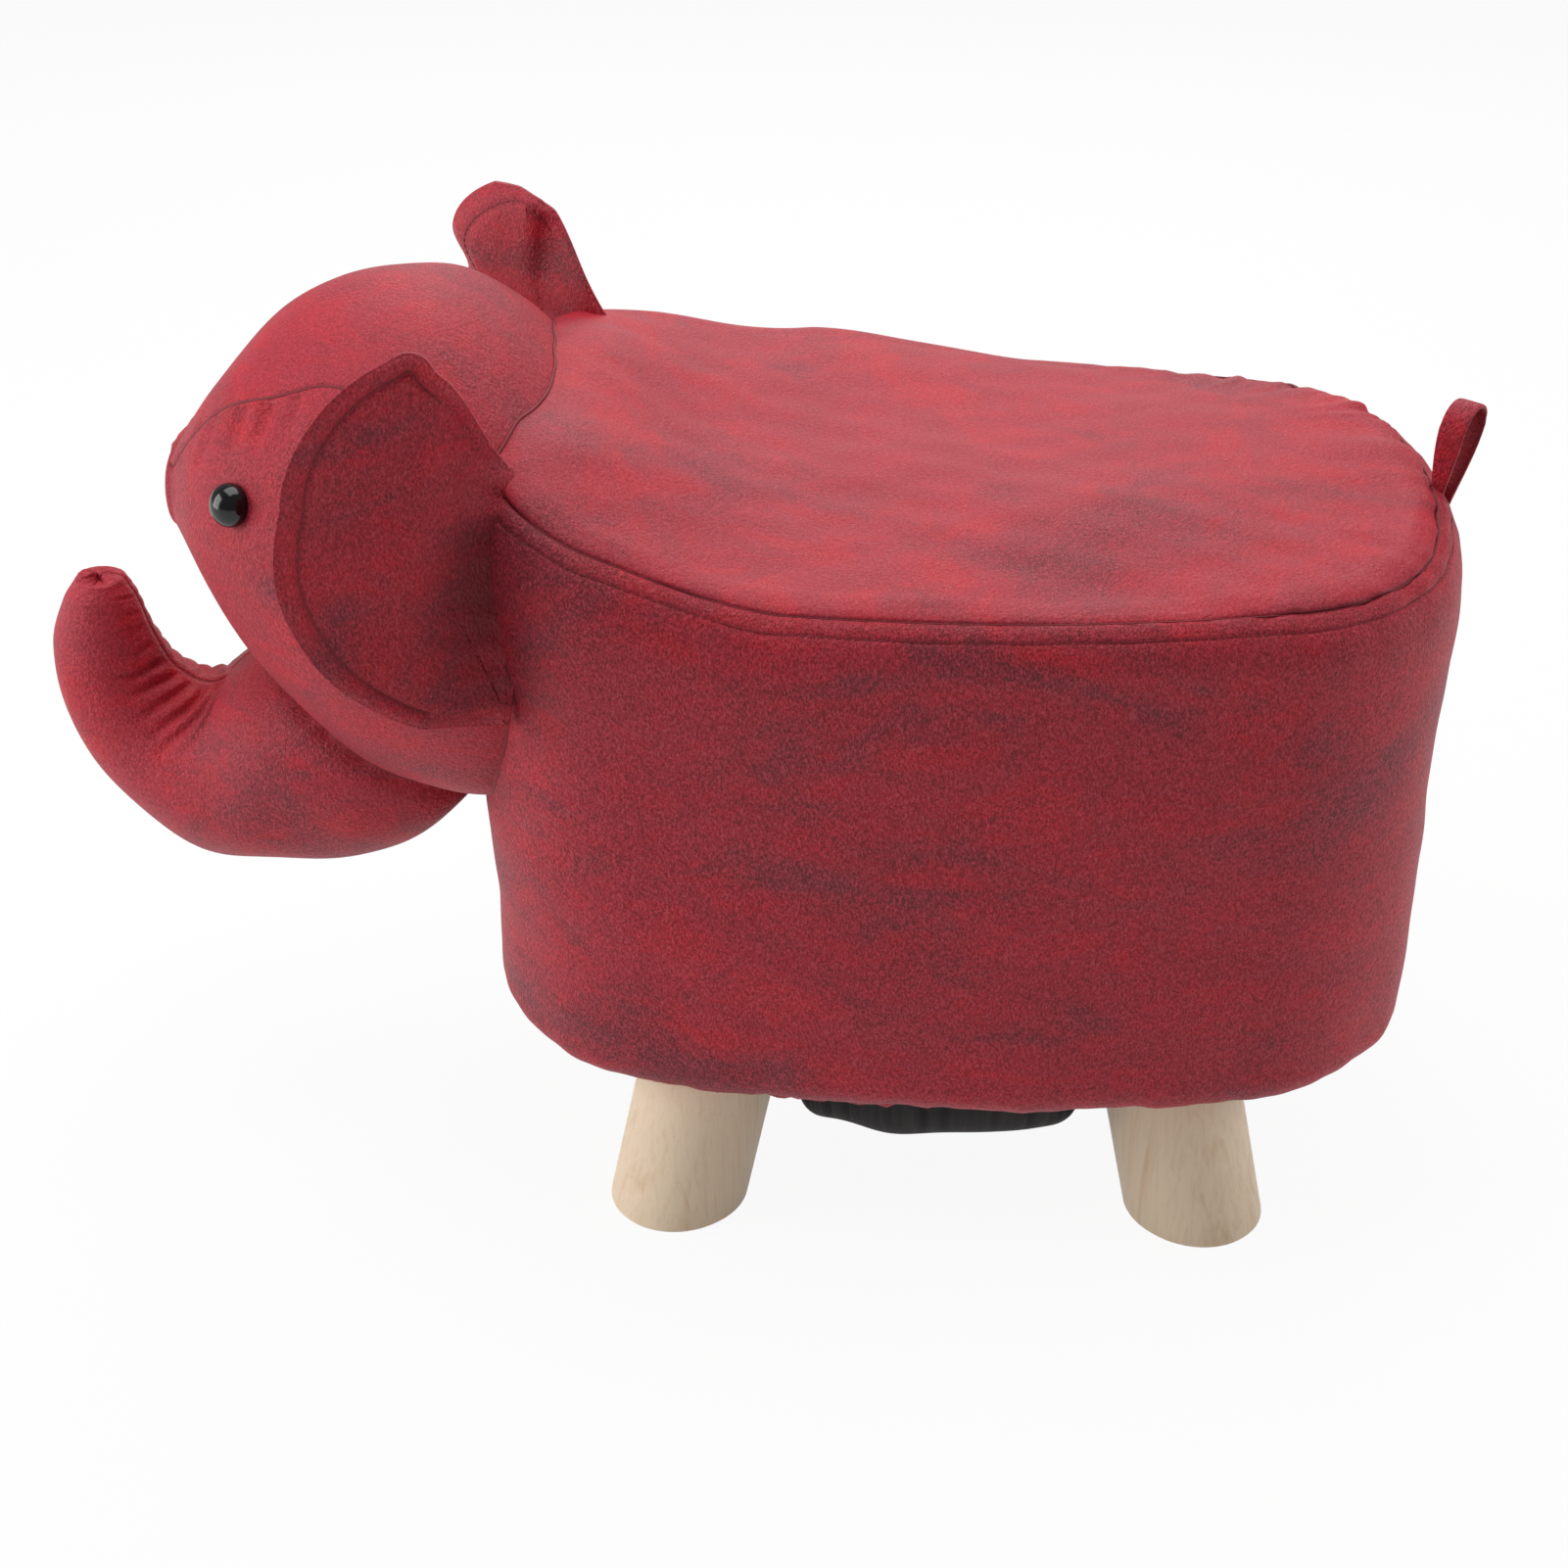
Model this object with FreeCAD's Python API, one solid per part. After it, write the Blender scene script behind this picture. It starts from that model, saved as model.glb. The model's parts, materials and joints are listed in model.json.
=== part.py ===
import FreeCAD, Part
import math
import os

from FreeCAD import Vector

# Elephant footstool, millimetres. The head points to -X, the tail to +X, the floor is z = 0.
# The stool body is modelled round x = 0 and everything is moved at the end, so that the
# origin lies on the floor under the middle of the whole object.

# Stool body
seat_length = 406.0
seat_width = 280.0
underside = 77.0
seat_edge = 303.0
seat_crown = 13.0
shoulder_rise = 28.0
far_rise = 19.0
far_rise_full = -75.0
far_rise_none = 70.0
rise_start = -66.0
rise_end = -175.0
fall_start = 40.0
corner_share = 0.6
end_shares = (0.012, 0.06, 0.2, 0.44, 0.8, 1.5)
middle_shares = (-0.36, -0.28, -0.2, -0.1, 0.0, 0.125, 0.25, 0.34)
plan_corner = 90.0
yoke_corner = 70.0
end_bulge = 6.0
side_bulge = 10.5
shoulder_round = 25.0
bottom_round = 17.0
seam_inset = 11.0

# Fabric, foam and boards of the body
cover = 1.6
layer_gap = 0.3
foam_depth = 12.0
hoop_wall_depth = 3.0
board_fit = 0.2
base_board_depth = 15.0
seat_board_depth = 12.0
seat_board_top = 262.0
post_side = 32.0
post_x = 60.0
post_y = 95.0

# Hem and dust cover under the base
opening_inset = 22.0
hem_inset = 16.5
hem_width = 5.0
hem_depth = 4.0
hem_round = 1.6
dust_edge_inset = 24.0
dust_sheet = 0.8
belly_half_length = 66.0
belly_half_width = 115.0
belly_shift = -3.5
belly_sag = 33.0
belly_corner = 15.0
belly_draw = 9.0
staple_count = 24
staple_inset = 28.0
staple_width = 10.0
staple_wire = 1.2
staple_leg = 8.0

# Legs and their hardware
leg_diameter = 59.0
leg_front_inset = 103.0
leg_rear_inset = 110.0
leg_side_inset = 62.0
leg_clearance = 0.8
splay_x = 17.0
splay_y = 17.0
leg_edge = 1.5
bolt_diameter = 8.0
bolt_in_leg = 34.0
bolt_above_board = 4.0
bolt_clearance = 0.15
nut_flange = 22.0
nut_flange_depth = 1.5
nut_barrel = 10.0
nut_barrel_depth = 10.0
screw_diameter = 4.5
screw_head = 9.0
screw_length = 38.0
screw_clearance = 0.1

# Head
head_rear = -150.0
head_length = 178.0
head_half_width = 110.0
head_low = 168.0
head_height = 216.0
crown_apex_share = 0.96
crown_half_width = 62.0
crown_rear = -185.0

# Trunk
trunk_root = -215.0
trunk_reach = 157.0
trunk_low = 160.0
trunk_rise = 92.0
trunk_radius = 60.0

# Eyes
eye_diameter = 16.0
eye_bulge = 6.0
eye_x = -286.0
eye_z = 321.0
eye_stem = 5.0
eye_stem_length = 12.0
washer_diameter = 15.0
washer_depth = 1.6
washer_gap = 1.2

# Ears
ear_reach = 76.0
ear_flare = 28.0
ear_cup = 8.0
ear_root_length = 110.0
ear_top = 93.0
ear_low = 54.0
ear_fabric = 1.4
ear_wadding = 3.6
ear_hem = 8.0
ear_root_x = -174.0
ear_root_z = 301.0
ear_lean_back = 0.14
ear_lean_in = 0.19

# Tail loop
tail_height = 48.0
tail_root_drop = 8.0
tail_lean = 3.0
tail_loop_width = 12.0
tail_strip_width = 12.0
tail_strip = 2.0
tail_bead = 2.0

bulge_share = 0.07
overrun = 60.0
facet = 0.2
settle_steps = 12
settled = 0.03


# Outlines of eight tangent arcs

def arc(start, middle, end):
    return Part.Arc(start, middle, end).toShape()


def unit(x, y):
    length = math.hypot(x, y)
    return x / length, y / length


def oval_wire(half_x, half_y, corner, bulge_x, bulge_y, inset, place):
    """Closed outline with bowed ends, bowed sides and round corners, inset all round."""
    corner_x = half_x - corner - bulge_x
    corner_y = half_y - corner - bulge_y
    reach_x = corner + bulge_x
    reach_y = corner + bulge_y
    end_radius = (reach_x ** 2 + corner_y ** 2 - corner ** 2) / (2 * bulge_x)
    side_radius = (reach_y ** 2 + corner_x ** 2 - corner ** 2) / (2 * bulge_y)
    radius = corner - inset
    to_end = unit(corner_x - half_x + end_radius, corner_y)
    to_side = unit(corner_x, corner_y - half_y + side_radius)
    to_middle = unit(to_end[0] + to_side[0], to_end[1] + to_side[1])

    def at(direction, sign_x, sign_y):
        return place(sign_x * (corner_x + radius * direction[0]),
                     sign_y * (corner_y + radius * direction[1]))

    end_x = half_x - inset
    side_y = half_y - inset
    return Part.Wire([
        arc(at(to_end, 1, -1), place(end_x, 0), at(to_end, 1, 1)),
        arc(at(to_end, 1, 1), at(to_middle, 1, 1), at(to_side, 1, 1)),
        arc(at(to_side, 1, 1), place(0, side_y), at(to_side, -1, 1)),
        arc(at(to_side, -1, 1), at(to_middle, -1, 1), at(to_end, -1, 1)),
        arc(at(to_end, -1, 1), place(-end_x, 0), at(to_end, -1, -1)),
        arc(at(to_end, -1, -1), at(to_middle, -1, -1), at(to_side, -1, -1)),
        arc(at(to_side, -1, -1), place(0, -side_y), at(to_side, 1, -1)),
        arc(at(to_side, 1, -1), at(to_middle, 1, -1), at(to_end, 1, -1)),
    ])


def block(x0, x1, y0, y1, z0, z1):
    return Part.makeBox(x1 - x0, y1 - y0, z1 - z0, Vector(x0, y0, z0))


def rod(radius, x, y, z0, z1):
    return Part.makeCylinder(radius, z1 - z0, Vector(x, y, z0))


# Stool body

seat_board_low = seat_board_top - seat_board_depth
base_low = underside + cover + layer_gap
base_top = base_low + base_board_depth
wall_inset = cover + layer_gap + foam_depth + layer_gap
board_inset = wall_inset + hoop_wall_depth + board_fit
ceiling = seat_edge + shoulder_rise + overrun


def plan_prism(inset, z0, z1, corner=plan_corner):
    wire = oval_wire(seat_length / 2, seat_width / 2, corner, end_bulge, side_bulge,
                     inset, lambda x, y: Vector(x, y, z0))
    return Part.Face(wire).extrude(Vector(0, 0, z1 - z0))


def plan_half_width(x, inset, corner):
    """Half width of the stool body, seen from above, at a place along it."""
    line = Part.LineSegment(Vector(x, 0, 0), Vector(x, seat_width, 0)).toShape()
    wire = oval_wire(seat_length / 2, seat_width / 2, corner, end_bulge, side_bulge,
                     inset, lambda x, y: Vector(x, y, 0))
    crossing = Part.Face(wire).common(line)
    return crossing.Length


def rounding(depth, radius):
    """How far a rounded edge has fallen at a depth from the wall."""
    if depth >= radius:
        return 0.0
    return radius - math.sqrt(radius ** 2 - (radius - depth) ** 2)


def eased(x, start, end):
    """0 at start and 1 at end, easing between."""
    share = min(1.0, max(0.0, (x - start) / (end - start)))
    return share ** 2 * (3 - 2 * share)


def seat_profile(x):
    """Heights along the body: the seat's edge, its crown, and the lump on the right side."""
    climb = eased(x, rise_start, rise_end)
    edge = seat_edge + shoulder_rise * climb
    fall = max(0.0, x - fall_start) / (seat_length / 2 - fall_start)
    lump = far_rise * eased(x, far_rise_none, far_rise_full) * (1 - climb)
    return edge, seat_crown * math.sqrt(1 - min(1.0, fall) ** 2), lump


def body_section(x, inset):
    """Closed outline across the body: flat underside, bowed seat and four round corners.

    Towards the neck the top corners are fuller than the bottom ones."""
    depth = seat_length / 2 - inset - abs(x)
    foot = plan_half_width(x, inset, plan_corner)
    head = plan_half_width(x, inset, yoke_corner) if x < 0 else foot
    edge, crown, lump = seat_profile(x)
    middle = edge - inset + crown - rounding(depth, shoulder_round - inset)
    top = middle - crown * (head / (seat_width / 2)) ** 2
    right = top + lump * head / (seat_width / 2)
    low = underside + inset + rounding(depth, bottom_round - inset)
    round_top = min(shoulder_round - inset, head * corner_share)
    round_low = min(bottom_round - inset, foot * corner_share)
    kept_top = round_top * (1 - math.sqrt(0.5))
    kept_low = round_low * (1 - math.sqrt(0.5))

    def at(y, z):
        return Vector(x, y, z)

    return Part.Wire([
        Part.LineSegment(at(round_low - foot, low), at(foot - round_low, low)).toShape(),
        arc(at(foot - round_low, low), at(foot - kept_low, low + kept_low),
            at(foot, low + round_low)),
        Part.LineSegment(at(foot, low + round_low), at(head, right - round_top)).toShape(),
        arc(at(head, right - round_top), at(head - kept_top, right - kept_top),
            at(head - round_top, right)),
        arc(at(head - round_top, right), at(0, middle), at(round_top - head, top)),
        arc(at(round_top - head, top), at(kept_top - head, top - kept_top),
            at(-head, top - round_top)),
        Part.LineSegment(at(-head, top - round_top), at(-foot, low + round_low)).toShape(),
        arc(at(-foot, low + round_low), at(kept_low - foot, low + kept_low),
            at(round_low - foot, low)),
    ])


def form(inset):
    """The covered stool body, or a layer inside it, inset all round."""
    end = seat_length / 2 - inset
    depths = [share * (shoulder_round - inset) for share in end_shares]
    places = [depth - end for depth in depths]
    places += [share * seat_length for share in middle_shares]
    places += [end - depth for depth in reversed(depths)]
    return Part.makeLoft([body_section(x, inset) for x in places], True, False)


def seam_prism():
    """Everything inside the seam between the seat panel and the side panel, seen from above."""
    low = seat_edge - shoulder_round * 2
    front = block(-seat_length, 0, -seat_width, seat_width, low, ceiling)
    rear = block(0, seat_length, -seat_width, seat_width, low, ceiling)
    neck_end = plan_prism(seam_inset, low, ceiling, yoke_corner).common(front)
    tail_end = plan_prism(seam_inset, low, ceiling).common(rear)
    return neck_end.fuse(tail_end).removeSplitter()


body_form = form(0)
body_inside = form(cover)
foam_form = form(cover + layer_gap)


def leg_centre(x, y):
    """Foot and top of a leg that splays away from the middle."""
    sign_x = math.copysign(1, x)
    sign_y = math.copysign(1, y)
    foot = Vector(x + sign_x * splay_x, y + sign_y * splay_y, 0)
    top = Vector(x, y, base_low - dust_sheet)
    return foot, top


leg_front_x = leg_front_inset - seat_length / 2
leg_rear_x = seat_length / 2 - leg_rear_inset
leg_y = seat_width / 2 - leg_side_inset
leg_places = {
    "front_left": (leg_front_x, -leg_y),
    "front_right": (leg_front_x, leg_y),
    "rear_left": (leg_rear_x, -leg_y),
    "rear_right": (leg_rear_x, leg_y),
}
post_places = {
    "front_left": (-post_x, -post_y),
    "front_right": (-post_x, post_y),
    "rear_left": (post_x, -post_y),
    "rear_right": (post_x, post_y),
}


def leg_stock(x, y, clearance):
    """Round bar on the leg's leaning axis, longer than the leg at both ends."""
    foot, top = leg_centre(x, y)
    along = top.sub(foot)
    return Part.makeCylinder(leg_diameter / 2 + clearance, along.Length * 3,
                             foot.sub(along), along)


def leg(x, y):
    """Plain turned leg, leaning outward, with both ends cut level."""
    foot, top = leg_centre(x, y)
    solid = leg_stock(x, y, 0)
    reach = leg_diameter * 2
    slab = block(x - reach, x + reach, y - reach, y + reach, foot.z, top.z)
    solid = solid.common(slab)
    rims = [edge for edge in solid.Edges if edge.BoundBox.ZLength < leg_edge]
    solid = solid.makeChamfer(leg_edge, rims)
    return solid.cut(rod(bolt_diameter / 2 + bolt_clearance, x, y,
                         top.z - bolt_in_leg - layer_gap, top.z + overrun))


def hanger_bolts():
    top = base_top + nut_flange_depth + bolt_above_board
    low = base_low - dust_sheet - bolt_in_leg
    return Part.makeCompound([rod(bolt_diameter / 2, x, y, low, top)
                              for x, y in leg_places.values()])


def tee_nut(x, y):
    flange = rod(nut_flange / 2, x, y, base_top, base_top + nut_flange_depth)
    barrel = rod(nut_barrel / 2, x, y, base_top - nut_barrel_depth, base_top)
    bore = rod(bolt_diameter / 2 + bolt_clearance, x, y, base_low - overrun, base_top + overrun)
    return flange.fuse(barrel).removeSplitter().cut(bore)


def screw(x, y, head_z, direction, clearance):
    """Countersunk screw, its head flush with the face at head_z."""
    slope = (screw_head - screw_diameter) / 2
    head = Part.makeCone(screw_head / 2 + clearance, screw_diameter / 2 + clearance, slope,
                         Vector(x, y, head_z), Vector(0, 0, direction))
    shank = Part.makeCylinder(screw_diameter / 2 + clearance, screw_length + clearance,
                              Vector(x, y, head_z), Vector(0, 0, direction))
    return head.fuse(shank).removeSplitter()


def screws(head_z, direction, clearance):
    return [screw(x, y, head_z, direction, clearance) for x, y in post_places.values()]


def staple_places():
    """Places and headings of the staples, evenly spaced round the dust cover.

    The staples that would lie under a leg are left out."""
    wire = oval_wire(seat_length / 2, seat_width / 2, plan_corner, end_bulge, side_bulge,
                     staple_inset, lambda x, y: Vector(x, y, 0))
    points = wire.discretize(Number=staple_count + 1)[:-1]
    for index, point in enumerate(points):
        ahead = points[(index + 1) % staple_count] - points[index - 1]
        near = min(math.hypot(point.x - x, point.y - y) for x, y in leg_places.values())
        if near > leg_diameter / 2 + staple_width:
            yield point, math.degrees(math.atan2(ahead.y, ahead.x))


def staples():
    low = base_low - dust_sheet - staple_wire
    made = []
    for point, heading in staple_places():
        half = staple_width / 2
        bridge = block(-half, half, -staple_wire / 2, staple_wire / 2, low, low + staple_wire)
        pins = [block(x, x + staple_wire, -staple_wire / 2, staple_wire / 2,
                      low, base_low + staple_leg)
                for x in (-half, half - staple_wire)]
        solid = bridge.fuse(pins).removeSplitter()
        solid.rotate(Vector(0, 0, 0), Vector(0, 0, 1), heading)
        solid.translate(point)
        made.append(solid)
    return made


# How far down the belly, and how far its outline has drawn in there
belly_shares = [(0.0, 0.0), (0.5, 0.06), (0.85, 0.35), (1.0, 1.0)]


def belly():
    """The black dust cover: a flat stapled sheet whose middle hangs down between the legs."""
    top = base_low - dust_sheet
    start = base_low - dust_sheet / 2
    wires = []
    for level_share, draw_share in belly_shares:
        z = start - level_share * belly_sag
        draw = draw_share * belly_draw
        wires.append(oval_wire(belly_half_length, belly_half_width, belly_corner,
                               belly_half_length * bulge_share, belly_half_width * bulge_share, draw,
                               lambda x, y, z=z: Vector(x + belly_shift, y, z)))
    sag = Part.makeLoft(wires, True, False)
    sheet = plan_prism(dust_edge_inset, top, base_low)
    return sheet.fuse(sag).removeSplitter()


def hem():
    """Gathered hem of the side panel, a soft band under the edge of the base."""
    low = underside - hem_depth
    band = plan_prism(hem_inset, low, underside - layer_gap).cut(
        plan_prism(hem_inset + hem_width, low - overrun, underside + overrun))
    rims = [edge for edge in band.Edges
            if edge.BoundBox.ZLength < hem_round and edge.BoundBox.ZMax < underside - hem_round]
    band = band.makeFillet(hem_round, rims)
    return band.cut([leg_stock(x, y, leg_clearance) for x, y in leg_places.values()])


# Head and trunk

# From the neck to the brow: place along the head, half width, underside, top, roundness
head_shares = [
    (0.00, 0.90, 0.10, 0.76, 0.66),
    (0.11, 0.94, 0.06, 0.84, 0.66),
    (0.22, 0.99, 0.02, 0.93, 0.68),
    (0.35, 1.00, 0.01, 1.00, 0.70),
    (0.49, 0.95, 0.03, 1.01, 0.72),
    (0.62, 0.87, 0.09, 0.975, 0.73),
    (0.76, 0.74, 0.20, 0.90, 0.74),
    (0.89, 0.54, 0.37, 0.785, 0.74),
    (1.00, 0.25, 0.545, 0.66, 0.74),
]


def head_form(inset):
    wires = []
    for along, width, low, high, round_share in head_shares:
        x = head_rear - along * (head_length - inset)
        half_y = width * head_half_width
        half_z = (high - low) / 2 * head_height
        middle = head_low + (low + high) / 2 * head_height
        corner = round_share * min(half_y, half_z)
        wires.append(oval_wire(half_y, half_z, corner, half_y * bulge_share,
                               half_z * bulge_share, inset,
                               lambda y, z, x=x, middle=middle: Vector(x, y, middle + z)))
    return Part.makeLoft(wires, True, False)


# From inside the head to the tip: forward, up, half width, half depth, heading in degrees
trunk_shares = [
    (0.00, 0.57, 1.00, 0.74, -22),
    (0.25, 0.28, 1.12, 0.88, -18),
    (0.49, 0.14, 1.00, 0.80, -8),
    (0.68, 0.06, 0.79, 0.73, 10),
    (0.85, 0.20, 0.56, 0.55, 48),
    (0.945, 0.43, 0.44, 0.44, 74),
    (0.977, 0.67, 0.37, 0.37, 88),
    (0.976, 0.88, 0.26, 0.25, 90),
    (0.97, 0.985, 0.16, 0.15, 92),
]
trunk_round_share = 0.75


def trunk_form(inset):
    wires = []
    last = len(trunk_shares) - 1
    for index, (forward, up, width, depth, heading) in enumerate(trunk_shares):
        angle = math.radians(heading)
        ahead = Vector(-math.cos(angle), 0, math.sin(angle))
        inward = Vector(math.sin(angle), 0, math.cos(angle))
        back = inset if index == last else 0
        centre = Vector(trunk_root - forward * trunk_reach, 0, trunk_low + up * trunk_rise)
        centre = centre - ahead * back
        half_y = width * trunk_radius
        half_v = depth * trunk_radius
        corner = trunk_round_share * min(half_y, half_v)
        wires.append(oval_wire(half_y, half_v, corner, half_y * bulge_share,
                               half_v * bulge_share, inset,
                               lambda y, v, centre=centre, inward=inward:
                               centre + Vector(0, y, 0) + inward * v))
    return Part.makeLoft(wires, True, False)


head_outer = head_form(0)
trunk_outer = trunk_form(0)
carrier = Part.makeCompound([head_outer, body_form])
head_shell = head_outer.cut(head_form(cover)).cut(body_form)
trunk_shell = trunk_outer.cut(trunk_form(cover)).cut([head_outer, body_form])
head_inner = head_form(cover + layer_gap).cut(body_form)
trunk_inner = trunk_form(cover + layer_gap).cut([head_outer, body_form])


def side_half(side):
    """Everything on one side of the middle plane: -1 is the elephant's left."""
    reach = seat_length
    y0, y1 = (-reach, 0) if side < 0 else (0, reach)
    return block(-reach * 2, reach, y0, y1, 0, reach * 2)


def crown_prism():
    """Long triangle seen from above, from the brow to the neck."""
    apex = head_rear - crown_apex_share * head_length
    middle = head_low + head_height / 2
    points = [Vector(apex, 0, middle),
              Vector(crown_rear, crown_half_width, middle),
              Vector(head_rear, crown_half_width, middle),
              Vector(head_rear, -crown_half_width, middle),
              Vector(crown_rear, -crown_half_width, middle),
              Vector(apex, 0, middle)]
    return Part.Face(Part.makePolygon(points)).extrude(Vector(0, 0, head_height))


# Eyes

def head_surface(x, z, side):
    """Point where a level line across the head leaves it on one side, and the way out there."""
    line = Part.LineSegment(Vector(x, 0, z), Vector(x, side * seat_width, z)).toShape()
    inside = head_outer.common(line)
    ends = [vertex.Point for vertex in inside.Vertexes]
    point = max(ends, key=lambda p: side * p.y)
    for face in head_outer.Faces:
        if face.distToShape(Part.Vertex(point))[0] < settled:
            u, v = face.Surface.parameter(point)
            normal = face.normalAt(u, v)
            if normal.y * side < 0:
                normal = normal * -1
            return point, normal
    return point, Vector(0, side, 0)


def eye(side):
    """Domed eye on a stem that passes through the cover."""
    point, out = head_surface(eye_x, eye_z, side)
    radius = ((eye_diameter / 2) ** 2 + eye_bulge ** 2) / (2 * eye_bulge)
    ball = Part.makeSphere(radius, point - out * (radius - eye_bulge))
    room = Part.makeCylinder(eye_diameter, eye_diameter, point + out * layer_gap, out)
    stem = Part.makeCylinder(eye_stem / 2, eye_stem_length, point + out * layer_gap, out * -1)
    return ball.common(room).fuse(stem).removeSplitter()


def eye_washer(side):
    """Locking washer pressed on the stem behind the cover."""
    point, out = head_surface(eye_x, eye_z, side)
    seat = point - out * (cover + washer_gap)
    disc = Part.makeCylinder(washer_diameter / 2, washer_depth, seat, out * -1)
    bore = Part.makeCylinder(eye_stem / 2 + bolt_clearance, overrun, point, out * -1)
    return disc.cut(bore)


def eye_room(side):
    """Space in the filling and cover round the stem and washer."""
    point, out = head_surface(eye_x, eye_z, side)
    stem = Part.makeCylinder(eye_stem / 2 + bolt_clearance, eye_stem_length + layer_gap * 2,
                             point + out * layer_gap * 2, out * -1)
    disc = Part.makeCylinder(washer_diameter / 2 + bolt_clearance,
                             washer_depth + bolt_clearance * 2,
                             point - out * (cover + washer_gap - bolt_clearance), out * -1)
    return stem.fuse(disc)


# Ears

# The flap is drawn flat: u runs forward from the root, v runs up it, w points outward.
ear_depth = ear_fabric * 2 + ear_wadding
bead_radius = ear_depth / 2


# Points of the ear's outline: forward as a share of the reach, up as a share of the top or low
ear_shares = {
    "corner_start": (0.46, 0.94),
    "corner": (0.56, 1.0),
    "corner_end": (0.66, 0.965),
    "brow": (0.94, 0.74),
    "front": (1.06, 0.36),
    "jowl": (0.90, -0.40),
    "lobe": (0.34, -1.0),
}


def ear_outline():
    """Outline of the flap, with its straight root edge on u = 0."""
    root_low = Vector(0, -ear_root_length / 2, 0)
    root_top = Vector(0, ear_root_length / 2, 0)
    points = {}
    for name, (forward, up) in ear_shares.items():
        height = ear_top if up > 0 else ear_low
        points[name] = Vector(forward * ear_reach, up * height, 0)
    return Part.Wire([
        Part.LineSegment(root_low, root_top).toShape(),
        Part.LineSegment(root_top, points["corner_start"]).toShape(),
        arc(points["corner_start"], points["corner"], points["corner_end"]),
        arc(points["corner_end"], points["brow"], points["front"]),
        arc(points["front"], points["jowl"], points["lobe"]),
        Part.LineSegment(points["lobe"], root_low).toShape(),
    ])


def ear_bow():
    """Centre and radius of the flap's bow, in u and w."""
    chord = math.hypot(ear_reach, ear_flare)
    radius = (chord ** 2 / 4 + ear_cup ** 2) / (2 * ear_cup)
    across = radius - ear_cup
    u = ear_reach / 2 - ear_flare / chord * across
    w = ear_flare / 2 + ear_reach / chord * across
    return u, w, radius


def ear_plate(near, far, outline):
    """Bowed plate between two depths behind the front face, cut to an outline."""
    u, w, radius = ear_bow()
    reach = ear_top * 2
    start = Vector(u, -reach, w)
    along = Vector(0, 1, 0)
    outer = Part.makeCylinder(radius + far, reach * 2, start, along)
    inner = Part.makeCylinder(radius + near, reach * 2, start, along)
    prism = Part.Face(outline).extrude(Vector(0, 0, ear_top * 2))
    prism.translate(Vector(0, 0, -ear_top))
    return outer.cut(inner).common(prism)


def ear_frame():
    lean = Vector(ear_lean_back, -ear_lean_in, 1)
    lean.normalize()
    forward = Vector(-1, 0, 0)
    forward = forward - lean * forward.dot(lean)
    forward.normalize()
    outward = forward.cross(lean)
    return forward, lean, outward


def place_ear(shape, root):
    forward, lean, outward = ear_frame()
    placed = shape.copy()
    placed.Placement = FreeCAD.Placement(FreeCAD.Matrix(
        forward.x, lean.x, outward.x, root.x,
        forward.y, lean.y, outward.y, root.y,
        forward.z, lean.z, outward.z, root.z,
        0, 0, 0, 1))
    return placed


def ear_root(side):
    """Middle of the root, on the axis of the bead, with the bead just clear of the body."""
    lean = ear_frame()[1]
    middle = Vector(ear_root_x, side * (head_half_width + overrun), ear_root_z)
    half = Vector(lean.x, side * lean.y, lean.z) * (ear_root_length / 2)
    for _ in range(settle_steps):
        line = Part.LineSegment(middle - half, middle + half).toShape()
        gap = line.distToShape(carrier)[0] - bead_radius - layer_gap
        middle = middle - Vector(0, side * gap, 0)
        if abs(gap) < settled:
            break
    return middle


def ear(side):
    """Front panel, wadding and back panel of one ear, and the axis that it swings on."""
    outline = ear_outline()
    pocket = outline.makeOffset2D(-ear_hem)
    u, w, radius = ear_bow()
    front = ear_plate(0, ear_fabric, outline)
    wadding = ear_plate(ear_fabric, ear_fabric + ear_wadding, pocket)
    back = ear_plate(ear_fabric, ear_depth, outline)
    half_root = ear_root_length / 2
    bead = Part.makeCylinder(bead_radius, ear_root_length, Vector(0, -half_root, -bead_radius),
                             Vector(0, 1, 0))
    bow = Part.makeCylinder(radius + ear_fabric, ear_top * 4, Vector(u, -ear_top * 2, w),
                            Vector(0, 1, 0))
    back = back.fuse(bead.cut(bow)).removeSplitter().cut(wadding)
    middle = ear_root(side)
    root = Vector(middle.x, side * middle.y, middle.z) + ear_frame()[2] * bead_radius
    pieces = []
    for shape in (front, wadding, back):
        placed = place_ear(shape, root)
        if side < 0:
            placed = placed.mirror(Vector(0, 0, 0), Vector(0, 1, 0))
        pieces.append(placed)
    return pieces, middle


# Tail loop

def drop_wire(height, half_width, inset, x, y, z):
    """Pointed loop standing on its narrow end."""
    top = half_width - inset
    foot = tail_bead - inset / 2
    high = height - half_width
    return Part.Wire([
        arc(Vector(x - foot, y, z), Vector(x, y, z - foot), Vector(x + foot, y, z)),
        Part.LineSegment(Vector(x + foot, y, z), Vector(x + top, y, z + high)).toShape(),
        arc(Vector(x + top, y, z + high), Vector(x, y, z + high + top),
            Vector(x - top, y, z + high)),
        Part.LineSegment(Vector(x - top, y, z + high), Vector(x - foot, y, z)).toShape(),
    ])


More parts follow.
